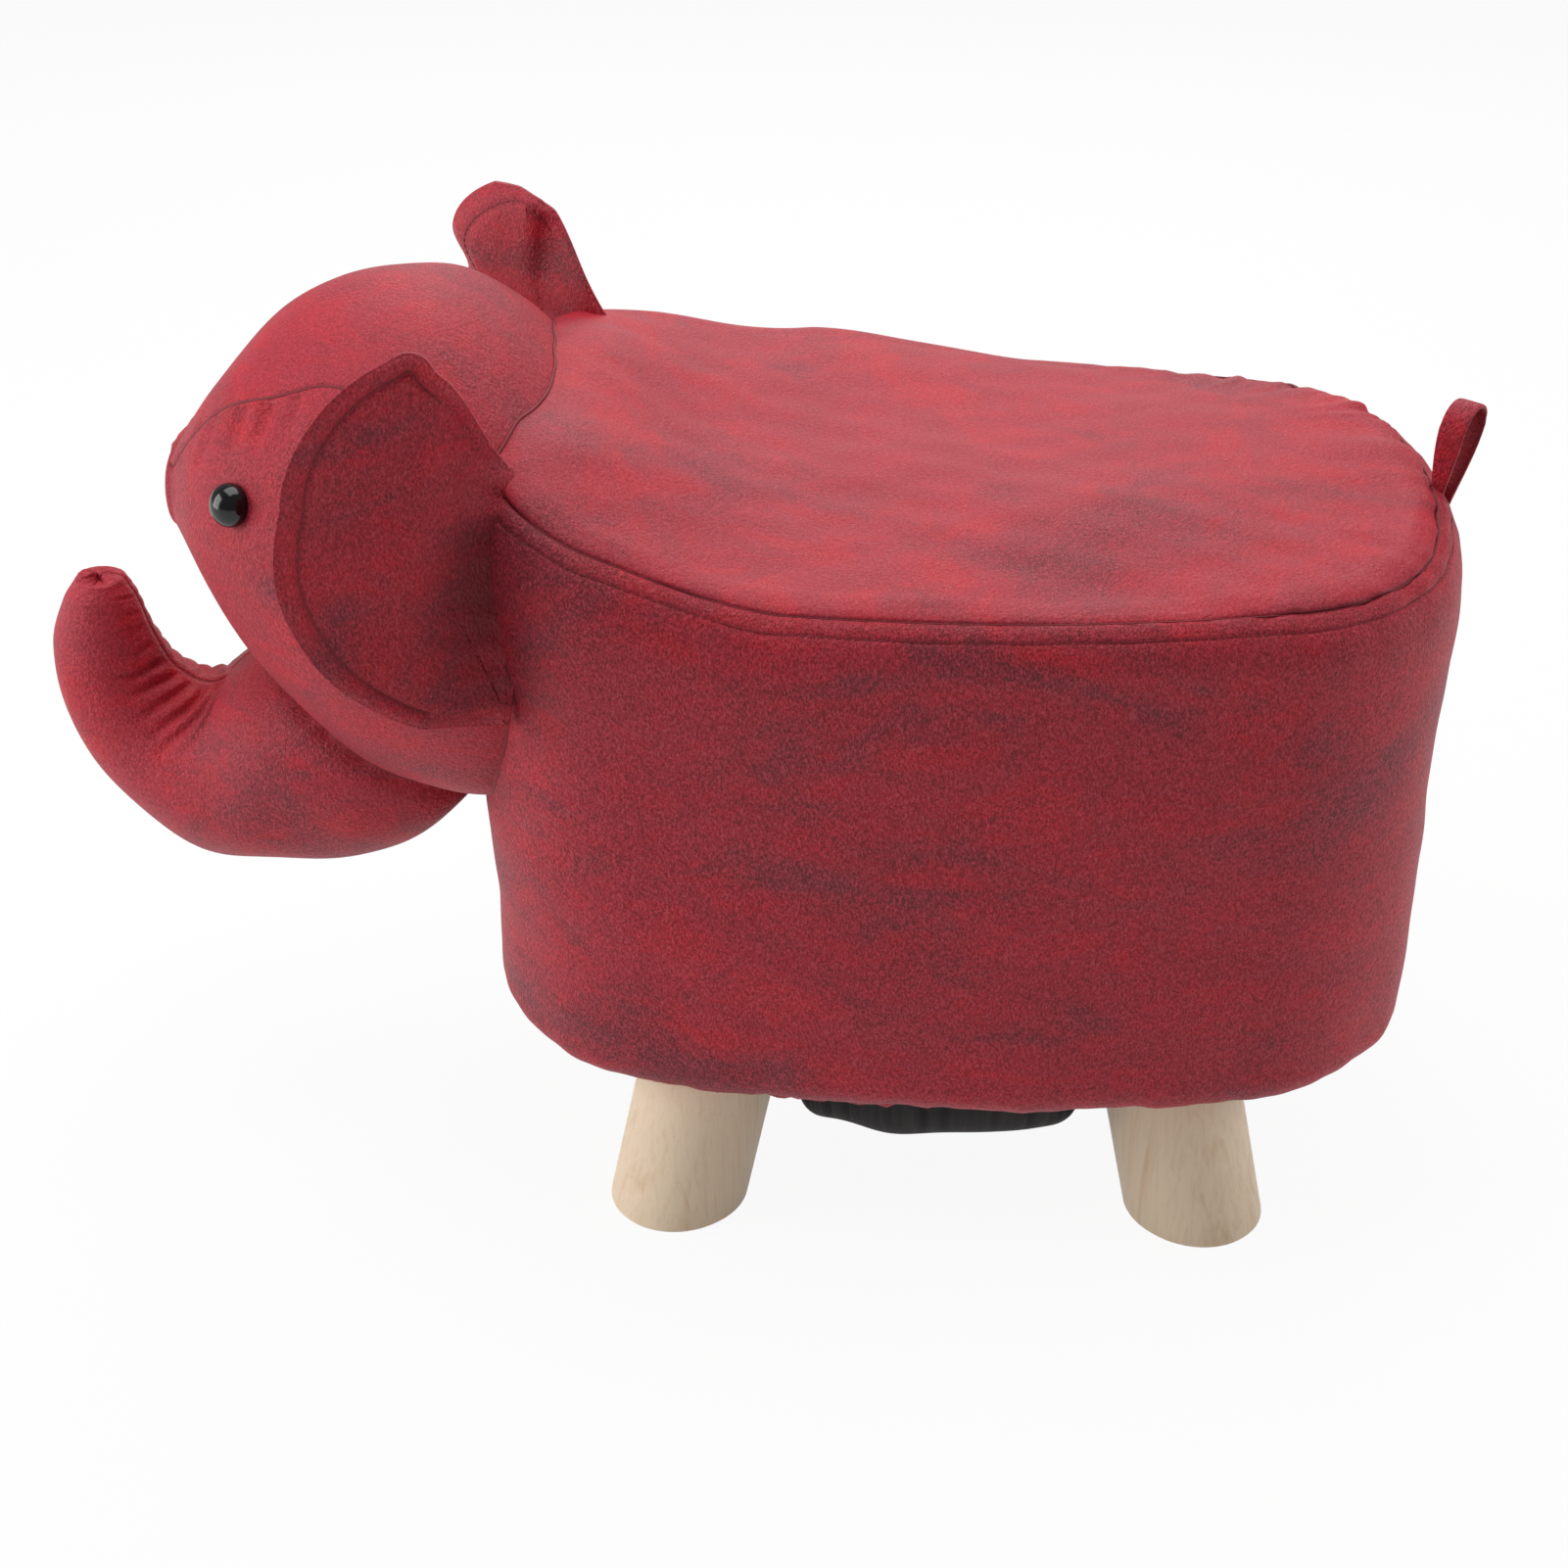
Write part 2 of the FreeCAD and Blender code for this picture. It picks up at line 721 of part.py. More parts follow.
def tail():
    """Folded strip loop and the middle of the axis that it bends on."""
    across = Vector(0, tail_strip_width, 0)
    foot = Vector(seat_length / 2 + overrun, 0, seat_edge - tail_root_drop)
    for _ in range(settle_steps):
        line = Part.LineSegment(foot + across / 2, foot - across / 2).toShape()
        gap = line.distToShape(body_form)[0] - tail_bead - layer_gap
        foot = foot - Vector(gap, 0, 0)
        if abs(gap) < settled:
            break
    x = foot.x
    y = -tail_strip_width / 2
    outer = Part.Face(drop_wire(tail_height, tail_loop_width / 2, 0, x, y, foot.z))
    inner = Part.Face(drop_wire(tail_height, tail_loop_width / 2, tail_strip, x, y, foot.z))
    above_bead = block(x - overrun, x + overrun, -overrun, overrun,
                       foot.z + tail_bead * 2, foot.z + tail_height)
    loop = outer.extrude(across).cut(inner.extrude(across).common(above_bead))
    loop.rotate(foot, Vector(0, 1, 0), tail_lean)
    return loop, foot


# All pieces

nodes = {}

shell = body_form.cut(body_inside)
seat_prism = seam_prism()
nodes["seat_panel"] = shell.common(seat_prism)
low_hole = plan_prism(opening_inset, 0, underside + overrun)
nodes["side_panel"] = shell.cut(seat_prism).cut(low_hole)
nodes["hem"] = hem()

foam_low = block(-seat_length, seat_length, -seat_length, seat_length, 0, seat_board_top)
foam_high = block(-seat_length, seat_length, -seat_length, seat_length,
                  seat_board_top + layer_gap, ceiling)
nodes["side_foam"] = foam_form.common(foam_low).cut(
    plan_prism(wall_inset - layer_gap, 0, ceiling))
nodes["seat_foam"] = foam_form.common(foam_high)
nodes["hoop_wall"] = plan_prism(wall_inset, base_low, seat_board_top).cut(
    plan_prism(wall_inset + hoop_wall_depth, 0, ceiling))

staple_solids = staples()
base_screws = screws(base_low, 1, 0)
base_cutters = screws(base_low, 1, screw_clearance)
seat_screws = screws(seat_board_top, -1, 0)
seat_cutters = screws(seat_board_top, -1, screw_clearance)
nut_rooms = [rod(nut_barrel / 2, x, y, base_low - overrun, base_top)
             for x, y in leg_places.values()]
bolt_rooms = [rod(bolt_diameter / 2 + bolt_clearance, x, y, 0, base_top)
              for x, y in leg_places.values()]

nodes["base_board"] = plan_prism(board_inset, base_low, base_top).cut(
    nut_rooms + base_cutters + staple_solids)
nodes["seat_board"] = plan_prism(board_inset, seat_board_low, seat_board_top).cut(seat_cutters)
for name, (x, y) in post_places.items():
    half = post_side / 2
    post = block(x - half, x + half, y - half, y + half, base_top, seat_board_low)
    nodes["post_" + name] = post.cut(base_cutters + seat_cutters)
nodes["base_board_screws"] = Part.makeCompound(base_screws)
nodes["seat_board_screws"] = Part.makeCompound(seat_screws)

for name, (x, y) in leg_places.items():
    nodes["leg_" + name] = leg(x, y)
nodes["hanger_bolts"] = hanger_bolts()
nodes["tee_nuts"] = Part.makeCompound([tee_nut(x, y) for x, y in leg_places.values()])
nodes["dust_cover"] = belly().cut(bolt_rooms + staple_solids)
nodes["dust_cover_staples"] = Part.makeCompound(staple_solids)

eye_rooms = [eye_room(-1), eye_room(1)]
gusset = crown_prism()
nodes["head_crown_panel"] = head_shell.common(gusset)
cheeks = head_shell.cut(gusset).cut(eye_rooms)
nodes["head_side_panel_left"] = cheeks.common(side_half(-1))
nodes["head_side_panel_right"] = cheeks.common(side_half(1))
nodes["head_filling"] = head_inner.cut(eye_rooms)
nodes["trunk_panel_left"] = trunk_shell.common(side_half(-1))
nodes["trunk_panel_right"] = trunk_shell.common(side_half(1))
nodes["trunk_filling"] = trunk_inner
ear_axes = {}
for name, side in (("left", -1), ("right", 1)):
    nodes["eye_" + name] = eye(side)
    nodes["eye_washer_" + name] = eye_washer(side)
    ear_pieces, ear_axes[name] = ear(side)
    nodes["ear_" + name + "_front_panel"] = ear_pieces[0]
    nodes["ear_" + name + "_wadding"] = ear_pieces[1]
    nodes["ear_" + name + "_back_panel"] = ear_pieces[2]
nodes["tail_loop"], tail_axis = tail()

corners = [point for shape in nodes.values() for point in shape.tessellate(facet)[0]]
least = Vector(*[min(point[axis] for point in corners) for axis in range(3)])
most = Vector(*[max(point[axis] for point in corners) for axis in range(3)])
shift = Vector(-(least.x + most.x) / 2, -(least.y + most.y) / 2, -least.z)

os.makedirs("parts", exist_ok=True)
for name, shape in nodes.items():
    shape.translate(shift)
    shape.exportStep("parts/" + name + ".step")
    print(name, len(shape.Solids), "solids", round(shape.Volume / 1000, 1), "cm3",
          "valid" if shape.isValid() else "NOT VALID")

print("size", most - least)
print("shift", shift)
for name, axis in ear_axes.items():
    print("ear axis", name, axis + shift, "along", ear_frame()[1], "mirrored for the left")
print("tail axis", tail_axis + shift)
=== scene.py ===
"""Elephant footstool, the visual model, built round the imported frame.

Metres, +X towards the tail, +Y the elephant's right side, +Z up. The surfaces of the stool
body, head, trunk and ears are grids worked out from the same named sizes as the solids, then
dressed with seams, puckers and wrinkles.
"""
import json
import math

import bmesh
import bpy
import numpy as np
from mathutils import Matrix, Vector
from mathutils.bvhtree import BVHTree


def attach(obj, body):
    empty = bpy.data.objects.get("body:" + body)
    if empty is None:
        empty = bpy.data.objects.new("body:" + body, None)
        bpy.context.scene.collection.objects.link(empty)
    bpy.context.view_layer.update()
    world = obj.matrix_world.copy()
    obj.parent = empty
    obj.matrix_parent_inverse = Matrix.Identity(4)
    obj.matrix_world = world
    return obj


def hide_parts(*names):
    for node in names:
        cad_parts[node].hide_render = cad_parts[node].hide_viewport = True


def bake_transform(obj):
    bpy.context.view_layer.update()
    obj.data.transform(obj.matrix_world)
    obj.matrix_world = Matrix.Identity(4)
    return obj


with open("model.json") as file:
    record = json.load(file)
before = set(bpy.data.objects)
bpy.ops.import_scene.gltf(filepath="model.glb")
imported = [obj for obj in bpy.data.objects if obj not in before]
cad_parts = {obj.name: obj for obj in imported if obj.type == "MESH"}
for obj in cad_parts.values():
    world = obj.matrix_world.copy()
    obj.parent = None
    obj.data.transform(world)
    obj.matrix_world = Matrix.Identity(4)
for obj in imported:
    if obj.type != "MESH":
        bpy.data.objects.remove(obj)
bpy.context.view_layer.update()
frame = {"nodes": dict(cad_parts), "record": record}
nodes = frame["nodes"]

# Sizes shared with the solids. The bottom rounding, the trunk's reach, the eye's size and the
# dust sheet's sag were fitted to the photo later, and differ a little from theirs.
body_shift = 0.090831
seat_length = 0.406
seat_width = 0.280
underside = 0.077
seat_edge = 0.303
seat_crown = 0.013
shoulder_rise = 0.028
rise_start = -0.066
rise_end = -0.175
fall_start = 0.040
plan_corner = 0.090
yoke_corner = 0.070
end_bulge = 0.006
side_bulge = 0.0105
shoulder_round = 0.025
bottom_round = 0.0155
seam_inset = 0.011
head_rear = -0.150
head_length = 0.178
head_half_width = 0.110
head_low = 0.168
head_height = 0.216
trunk_root = -0.215
trunk_reach = 0.159
trunk_low = 0.160
trunk_rise = 0.092
trunk_radius = 0.060
trunk_roundness = 0.75
eye_x = -0.286
eye_z = 0.321
eye_radius = 0.0088
eye_bulge = 0.0074
ear_reach = 0.076
ear_flare = 0.028
ear_cup = 0.008
ear_root_length = 0.110
ear_top = 0.093
ear_low = 0.054
ear_depth = 0.0064
ear_root = (-0.174, 0.119997, 0.301)
ear_lean = (0.136257, -0.184920, 0.973262)
tail_root = (0.201276, 0.0, 0.295)
tail_height = 0.048
belly_half_length = 0.066
belly_half_width = 0.115
belly_shift = -0.0035
belly_sag = 0.0375
belly_corner = 0.015
dust_inset = 0.024
dust_level = 0.0785
bulge_share = 0.07

# Seed of every random draw, and the lengths under which points and edges are merged
rng_seed = 7
merge_distance = 1e-6
shortest_edge = 1e-7
smallest_length = 1e-12
# How the waves of a wandering value and of a ripple vary about their named size
wander_rates = (0.6, 1.6)
ripple_shares = (0.55, 0.8, 1.0, 1.35)
ripple_stray = (0.9, 1.1)


# Numbers and curves

def smooth(value, low, high):
    """0 below low, 1 above high, easing between."""
    share = np.clip((value - low) / (high - low), 0.0, 1.0)
    return share * share * (3 - 2 * share)


def hump(value, centre, width):
    return np.exp(-((value - centre) / width) ** 2)


def unit_rows(vectors):
    length = np.linalg.norm(vectors, axis=-1, keepdims=True)
    return vectors / np.maximum(length, smallest_length)


def wander(points, size, seed, count=9):
    """Smooth wandering value, about -1 to 1, over points; size is its wavelength."""
    rng = np.random.default_rng(rng_seed + seed)
    total = np.zeros(points.shape[:-1])
    for _ in range(count):
        direction = unit_rows(rng.normal(size=points.shape[-1]))
        rate = 2 * math.pi / size * rng.uniform(*wander_rates)
        total += np.sin(points @ direction * rate + rng.uniform(0, 2 * math.pi))
    return total / math.sqrt(count)


def ripple(along, size, seed):
    """Uneven ripple along a seam; size is the usual distance from fold to fold."""
    rng = np.random.default_rng(rng_seed + seed)
    total = np.zeros_like(along)
    for share in ripple_shares:
        rate = 2 * math.pi / (size * share)
        rate = rate * rng.uniform(*ripple_stray)
        total += np.sin(along * rate + rng.uniform(0, 2 * math.pi))
    return total / 2


def through(rows, count):
    """Rows of values on a smooth curve through the given rows."""
    rows = np.asarray(rows, float)
    padded = np.vstack([2 * rows[0] - rows[1], rows, 2 * rows[-1] - rows[-2]])
    place = np.linspace(0, len(rows) - 1 - 1e-9, count)
    index = place.astype(int)
    t = (place - index)[:, None]
    a, b, c, d = (padded[index + k] for k in range(4))
    return 0.5 * (2 * b + (c - a) * t + (2 * a - 5 * b + 4 * c - d) * t ** 2
                  + (3 * b - 3 * c + d - a) * t ** 3)


def close_spaced(length, step, edge_step, edge_reach):
    """Shares from 0 to 1 along a length, close together near both ends."""
    places = [0.0]
    while places[-1] < length:
        near = min(places[-1], length - places[-1])
        places.append(places[-1] + edge_step + (step - edge_step)
                      * float(smooth(near, 0, edge_reach)))
    places = np.array(places)
    return places / places[-1]


def oval(half_x, half_y, corner, bulge_x, bulge_y, counts):
    """Points and outward directions round eight tangent arcs, from the +x end."""
    corner_x = half_x - corner - bulge_x
    corner_y = half_y - corner - bulge_y
    reach_x = corner + bulge_x
    reach_y = corner + bulge_y
    end_radius = (reach_x ** 2 + corner_y ** 2 - corner ** 2) / (2 * bulge_x)
    side_radius = (reach_y ** 2 + corner_x ** 2 - corner ** 2) / (2 * bulge_y)
    end_angle = math.atan2(corner_y, corner_x - half_x + end_radius)
    side_angle = math.atan2(corner_y - half_y + side_radius, corner_x)
    arcs = [
        (half_x - end_radius, 0, end_radius, 0, end_angle),
        (corner_x, corner_y, corner, end_angle, side_angle),
        (0, half_y - side_radius, side_radius, side_angle, math.pi / 2),
    ]
    points = []
    ways = []
    for (x, y, radius, start, stop), count in zip(arcs, counts):
        angles = np.linspace(start, stop, count, endpoint=False)
        way = np.stack([np.cos(angles), np.sin(angles)], axis=1)
        points.append(np.array([x, y]) + way * radius)
        ways.append(way)
    points.append(np.array([[0.0, half_y]]))
    ways.append(np.array([[0.0, 1.0]]))
    points = np.vstack(points)
    ways = np.vstack(ways)

    def whole(quarter):
        turned = quarter[::-1] * (-1, 1)
        lower = quarter * (-1, -1)
        last = quarter[::-1] * (1, -1)
        return np.vstack([quarter[:-1], turned[:-1], lower[:-1], last[:-1]])

    return whole(points), whole(ways)


# Meshes from grids

def grid_normals(points, wrap, inside):
    """Outward directions of a grid; inside is a point or points that they turn away from."""
    if wrap:
        across = np.roll(points, -1, axis=1) - np.roll(points, 1, axis=1)
    else:
        across = np.gradient(points, axis=1)
    down = np.gradient(points, axis=0)
    normals = unit_rows(np.cross(across, down))
    outward = np.sum(normals * (points - inside), axis=-1)
    if np.mean(outward) < 0:
        normals = -normals
    return normals


def grid_faces(rows, cols, wrap, offset, flip):
    index = np.arange(rows * cols).reshape(rows, cols) + offset
    if wrap:
        index = np.hstack([index, index[:, :1]])
    corners = [index[:-1, :-1], index[:-1, 1:], index[1:, 1:], index[1:, :-1]]
    faces = np.stack(corners, axis=-1).reshape(-1, 4)
    return faces[:, ::-1] if flip else faces


def mesh_object(name, points, faces, sewn_and_shade=None):
    """Clean mesh with outward faces; a value per point is 1 on a sewn line and marks painted
    shade.
    """
    mesh = bpy.data.meshes.new(name)
    mesh.from_pydata([tuple(p) for p in points], [], [tuple(f) for f in faces])
    if sewn_and_shade is not None:
        mark = mesh.attributes.new("sewn_and_shade", "FLOAT", "POINT")
        mark.data.foreach_set("value", np.asarray(sewn_and_shade, np.float32).ravel())
    work = bmesh.new()
    work.from_mesh(mesh)
    bmesh.ops.remove_doubles(work, verts=work.verts, dist=merge_distance)
    bmesh.ops.dissolve_degenerate(work, edges=work.edges, dist=shortest_edge)
    bmesh.ops.recalc_face_normals(work, faces=work.faces)
    work.to_mesh(mesh)
    work.free()
    mesh.shade_smooth()
    piece = bpy.data.objects.new(name, mesh)
    bpy.context.scene.collection.objects.link(piece)
    return piece


def shell_object(name, outer, inner, wrap, sewn_and_shade=None):
    """Closed shell between two grids of the same shape; the sewn mark lies on the outer grid."""
    rows, cols = outer.shape[:2]
    count = rows * cols
    faces = [grid_faces(rows, cols, wrap, 0, False), grid_faces(rows, cols, wrap, count, True)]
    index = np.arange(count).reshape(rows, cols)
    rims = [index[0], index[-1]]
    if not wrap:
        rims += [index[:, 0], index[:, -1]]
    for number, rim in enumerate(rims):
        if wrap:
            rim = np.append(rim, rim[0])
        strip = np.stack([rim[:-1], rim[1:], rim[1:] + count, rim[:-1] + count], axis=-1)
        faces.append(strip[:, ::-1] if number % 2 else strip)
    points = np.vstack([outer.reshape(-1, 3), inner.reshape(-1, 3)])
    if sewn_and_shade is not None:
        sewn_and_shade = np.concatenate([sewn_and_shade.ravel(), np.zeros(count)])
    return mesh_object(name, points, np.vstack(faces), sewn_and_shade)


def closed_object(name, points, sewn_and_shade=None):
    """Closed skin from a wrapped grid whose first and last rows each shrink to one point."""
    rows, cols = points.shape[:2]
    return mesh_object(name, points.reshape(-1, 3), grid_faces(rows, cols, True, 0, False), sewn_and_shade)


def shifted(points):
    return points + np.array([body_shift, 0, 0])


def path_lengths(points, axis):
    """Distance travelled along one axis of a grid."""
    steps = np.linalg.norm(np.diff(points, axis=axis), axis=-1)
    start = np.zeros_like(np.take(steps, [0], axis=axis))
    return np.concatenate([start, np.cumsum(steps, axis=axis)], axis=axis)


# Relief of a sewn seam, of a line of topstitching, and the mark that colours them
seam_depth = 0.0006
seam_half_width = 0.0007
seam_roll_place = 0.0035
seam_roll_width = 0.0020
seam_roll_share = 0.35
stitch_depth = 0.0004
stitch_half_width = 0.0009
mark_half_width = 0.0005


def seam_dip(distance, depth=seam_depth):
    """Height beside a sewn seam: a narrow valley with a faint roll next to it."""
    roll = seam_roll_share * depth * hump(distance, seam_roll_place, seam_roll_width)
    return roll - depth * hump(distance, 0, seam_half_width)


def stitch_dip(distance):
    """Height across a line of topstitching."""
    return -stitch_depth * hump(distance, 0, stitch_half_width)


def sewn_mark(distance, half_width=mark_half_width):
    """1 on a sewn line, fading to 0 beside it."""
    return hump(distance, 0, half_width)


def line_at(grid, distance, place):
    """Points of each column of a grid where the distance along it reaches a place."""
    points = []
    for column in range(grid.shape[1]):
        points.append([np.interp(place, distance[:, column], grid[:, column, axis])
                       for axis in range(3)])
    return np.array(points)


def skin_tree(*pieces):
    """Search tree over the faces of pieces."""
    corners = []
    faces = []
    for piece in pieces:
        start = len(corners)
        corners += [vertex.co.copy() for vertex in piece.data.vertices]
        faces += [[start + index for index in face.vertices] for face in piece.data.polygons]
    return BVHTree.FromPolygons(corners, faces)


def meeting_line(grid, tree):
    """Where each column of a grid, followed from its last row, first goes into other pieces."""
    line = []
    for column in range(grid.shape[1]):
        run = [Vector(point) for point in grid[::-1, column]]
        for a, b in zip(run[:-1], run[1:]):
            step = b - a
            if step.length < shortest_edge:
                continue
            hit = tree.ray_cast(a, step.normalized(), step.length)[0]
            if hit is not None:
                line.append(tuple(hit))
                break
    return np.array(line).reshape(-1, 3)


# Stool body

quarter_counts = (12, 56, 42)
low_line, low_way = oval(seat_length / 2, seat_width / 2, plan_corner, end_bulge, side_bulge,
                         quarter_counts)
yoke_line, yoke_way = oval(seat_length / 2, seat_width / 2, yoke_corner, end_bulge, side_bulge,
                           quarter_counts)
neck_half = (low_line[:, :1] < 0)
top_line = np.where(neck_half, yoke_line, low_line)
top_way = np.where(neck_half, yoke_way, low_way)

# Lumps of the filling in the top: heights, and the places between which each one grows
far_rise = 0.016
far_rise_full = -0.075
far_rise_none = 0.070
far_rise_side = (0.010, 0.115)
neck_dip = 0.005
neck_dip_side = (0.060, 0.120)
neck_dip_front = (0.075, 0.150)
neck_rise = 0.005
neck_rise_front = (0.110, 0.168)
neck_rise_side = (0.045, 0.105)


def top_height(x, y):
    """Height of the stool's top before its edge rounds over."""
    climb = np.clip((rise_start - x) / (rise_start - rise_end), 0, 1)
    edge = seat_edge + shoulder_rise * climb ** 2 * (3 - 2 * climb)
    fall = np.clip((x - fall_start) / (seat_length / 2 - fall_start), 0, 1)
    crown = seat_crown * np.sqrt(1 - fall ** 2)
    lumpy = far_rise * (1 - smooth(x, far_rise_full, far_rise_none)) * smooth(y, *far_rise_side)
    lumpy = lumpy * (1 - climb)
    dip = neck_dip * smooth(-y, *neck_dip_side) * smooth(-x, *neck_dip_front)
    yoke = neck_rise * smooth(-x, *neck_rise_front) * (1 - smooth(np.abs(y), *neck_rise_side))
    return edge + crown * (1 - (y / (seat_width / 2)) ** 2) + lumpy + yoke - dip


edge_start = top_line - top_way * shoulder_round
edge_height = top_height(edge_start[:, 0], edge_start[:, 1])


def with_height(plan, height):
    return np.concatenate([plan, np.broadcast_to(height, plan.shape[:1])[:, None]], axis=1)


def top_ring(share):
    plan = edge_start * share
    return with_height(plan, top_height(plan[:, 0], plan[:, 1]))


def shoulder_ring(angle):
    inset = shoulder_round * (1 - math.cos(angle))
    return with_height(top_line - top_way * inset,
                       edge_height - shoulder_round * (1 - math.sin(angle)))


def side_ring(share):
    """share is 1 under the shoulder and 0 at the start of the bottom rounding."""
    plan = low_line + (top_line - low_line) * share
    high = edge_height - shoulder_round
    low = underside + bottom_round
    return with_height(plan, low + (high - low) * share)


def bottom_ring(angle):
    inset = bottom_round * (1 - math.cos(angle))
    return with_height(low_line - low_way * inset,
                       underside + bottom_round * (1 - math.sin(angle)))


def under_ring(inset, rise):
    return with_height(low_line - low_way * inset, underside + rise)


seam_angle = math.acos(1 - seam_inset / shoulder_round)
seam_line = shoulder_ring(seam_angle)
around = np.append(0, np.cumsum(np.linalg.norm(np.diff(seam_line, axis=0), axis=1)))


stitch_place = 0.0078
crease_place = np.linspace(0, 1, 20)
seam_wave_size = 0.023
seam_wave_height = 0.0006
seam_wave_rear = (0.03, 0.16)
seam_wave = (ripple(around, seam_wave_size, 1) * seam_wave_height
             * smooth(seam_line[:, 0], *seam_wave_rear))

# Seat pad: folds that run in from the seam at the rear, and the waves of the whole top
seat_inside = np.array([0, 0, 0.1])
seat_rear = (0.03, 0.17)
seat_far = (-0.02, 0.06)
seat_wave_fade = 0.016
ray_size = 0.034
ray_radius = 0.1
ray_height = 0.0006
far_ray_height = 0.0009
ray_fade = 0.055
ray_start = 0.02
fold_size = 0.019
fold_height = 0.0009
fold_fade = 0.018
broad_stretch = (0.45, 1)
broad_size = 0.085
broad_height = 0.0011
small_stretch = (0.5, 1)
small_size = 0.030
small_height = 0.0004
crowding = 1.7
# How far the pad's tucked edge lies in from the side, and below the edge
pad_tucks = ((0.0135, 0.0085), (0.017, 0.030))
pad_floor = 0.265
pad_floor_shares = (1, 0.6, 0.3, 0)


def seat_top():
    """Seat panel with its foam: a crowned pad whose edge is the sewn seam."""
    rings = [top_ring(share) for share in np.linspace(0, 1, 46)]
    near_seam = 1 - (1 - crease_place[1:]) ** crowding
    rings += [shoulder_ring(math.pi / 2 + (seam_angle - math.pi / 2) * share)
              for share in near_seam]
    grid = np.stack(rings)
    normals = grid_normals(grid, True, seat_inside)
    normals[0] = (0, 0, 1)
    from_seam = path_lengths(grid[::-1], 0)[::-1]
    x, y = grid[..., 0], grid[..., 1]
    lift = seam_dip(from_seam) + seam_wave * np.exp(-from_seam / seat_wave_fade)
    rear = smooth(x, *seat_rear)
    far_rear = rear * smooth(y, *seat_far)
    angle = np.arctan2(y, x)
    rays = ripple(angle * ray_radius + 0 * x, ray_size, 2)
    lift += rays * (ray_height + far_ray_height * far_rear) * rear \
        * np.exp(-from_seam / ray_fade) * smooth(from_seam, 0.0, ray_start)
    folds = ripple(np.broadcast_to(around, from_seam.shape), fold_size, 51)
    lift += folds * fold_height * far_rear * np.exp(-from_seam / fold_fade)
    lift += broad_height * wander(grid[..., :2] * broad_stretch, broad_size, 3)
    lift += small_height * wander(grid[..., :2] * small_stretch, small_size, 52)
    grid = grid + normals * lift[..., None]
    sewn_and_shade = sewn_mark(from_seam)
    tuck = [with_height(top_line - top_way * inset, edge_height - fall)
            for inset, fall in pad_tucks]
    floor_line = tuck[-1][:, :2]
    under = [with_height(floor_line * share, pad_floor) for share in pad_floor_shares]
    grid = np.concatenate([grid, np.stack(tuck + under)])
    sewn_and_shade = np.concatenate([sewn_and_shade, np.zeros((len(grid) - len(sewn_and_shade), sewn_and_shade.shape[1]))])
    return closed_object("seat_pad", shifted(grid), sewn_and_shade)


# Side cover: relief under the seam, waves of the whole side, gathers above the hem
side_inside = np.array([0, 0, 0.19])
under_insets = (0.0185, 0.020, 0.0215)
seam_rows_reach = 0.0014
stitch_rows_reach = 0.0016
stitch_wander_size = 0.060
stitch_wander = 0.0005
side_wave_fade = 0.010
allowance_height = 0.0004
allowance_start = (0.001, 0.003)
allowance_end = (0.0065, 0.0085)
pucker_size = 0.021
pucker_height = 0.0003
pucker_fade = 0.012
pucker_start = 0.002
side_stretch = (0.6, 0.6, 1.2)
side_wave_start = 0.002
# Height, size, seed and distance from the seam where the wave is full
side_waves = ((0.0012, 0.17, 5, 0.04), (0.0004, 0.05, 6, 0.02))
# Height, size, seed and reach above the hem
hem_gathers = ((0.0009, 0.026, 7, 0.014), (0.0009, 0.062, 8, 0.035))
stitch_mark_share = 0.35
wall_depth = 0.010
wall_rise = 0.004
lip_drop = 0.0085
lip_inset = 0.0025
lip_depth = 0.008
lip_rows = 12


def side_cover():
    """Side panel with its foam, from the seat seam to the drawn hem, and its stitch line."""
    arc = shoulder_round * seam_angle
    places = np.unique(np.concatenate([
        np.linspace(0, arc, 17), np.linspace(0, seam_rows_reach, 6),
        stitch_place + np.linspace(-stitch_rows_reach, stitch_rows_reach, 10)]))
    rings = [shoulder_ring(seam_angle * (1 - place / arc)) for place in places]
    rings += [side_ring(share) for share in np.linspace(1, 0, 62)[1:]]
    rings += [bottom_ring(angle) for angle in np.linspace(0, math.pi / 2, 14)[1:]]
    rings += [under_ring(inset, 0) for inset in under_insets]
    grid = np.stack(rings)
    normals = grid_normals(grid, True, side_inside)
    down = path_lengths(grid, 0)
    along = np.broadcast_to(around, down.shape)
    stitched = ripple(around, stitch_wander_size, 53) * stitch_wander
    lift = seam_dip(down) + seam_wave * np.exp(-down / side_wave_fade)
    lift += allowance_height * smooth(down, *allowance_start) \
        * (1 - smooth(down, *allowance_end))
    lift += stitch_dip(down - stitch_place - stitched)
    lift += ripple(along, pucker_size, 4) * pucker_height * np.exp(-down / pucker_fade) \
        * smooth(down, 0, pucker_start)
    for height, size, seed, full in side_waves:
        lift += height * wander(grid * side_stretch, size, seed) \
            * smooth(down, side_wave_start, full)
    from_low = down[-1] - down
    for height, size, seed, fade in hem_gathers:
        lift += ripple(along, size, seed) * height * np.exp(-from_low / fade)
    grid = grid + normals * lift[..., None]
    sewn_and_shade = sewn_mark(down) + stitch_mark_share * sewn_mark(down - stitch_place - stitched)
    stitch_line = shifted(line_at(grid, down, stitch_place))
    inner_normal = np.concatenate([top_way * 0 + low_way, low_way[:, :1] * 0], axis=1)
    inner = grid - inner_normal * wall_depth
    inner[..., 2] = np.clip(inner[..., 2], underside + wall_rise, None)
    tuck = grid[:1] - np.array([0, 0, lip_drop]) - inner_normal * lip_inset
    outer = np.concatenate([tuck, grid])
    sewn_and_shade = np.concatenate([sewn_and_shade[:1] * 0, sewn_and_shade])
    inner = np.concatenate([tuck - inner_normal * lip_depth, inner])
    inner[:lip_rows, :, 2] = np.minimum(inner[:lip_rows, :, 2], inner[0, :, 2])
    return shell_object("side_cover", shifted(outer), shifted(inner), True, sewn_and_shade), stitch_line


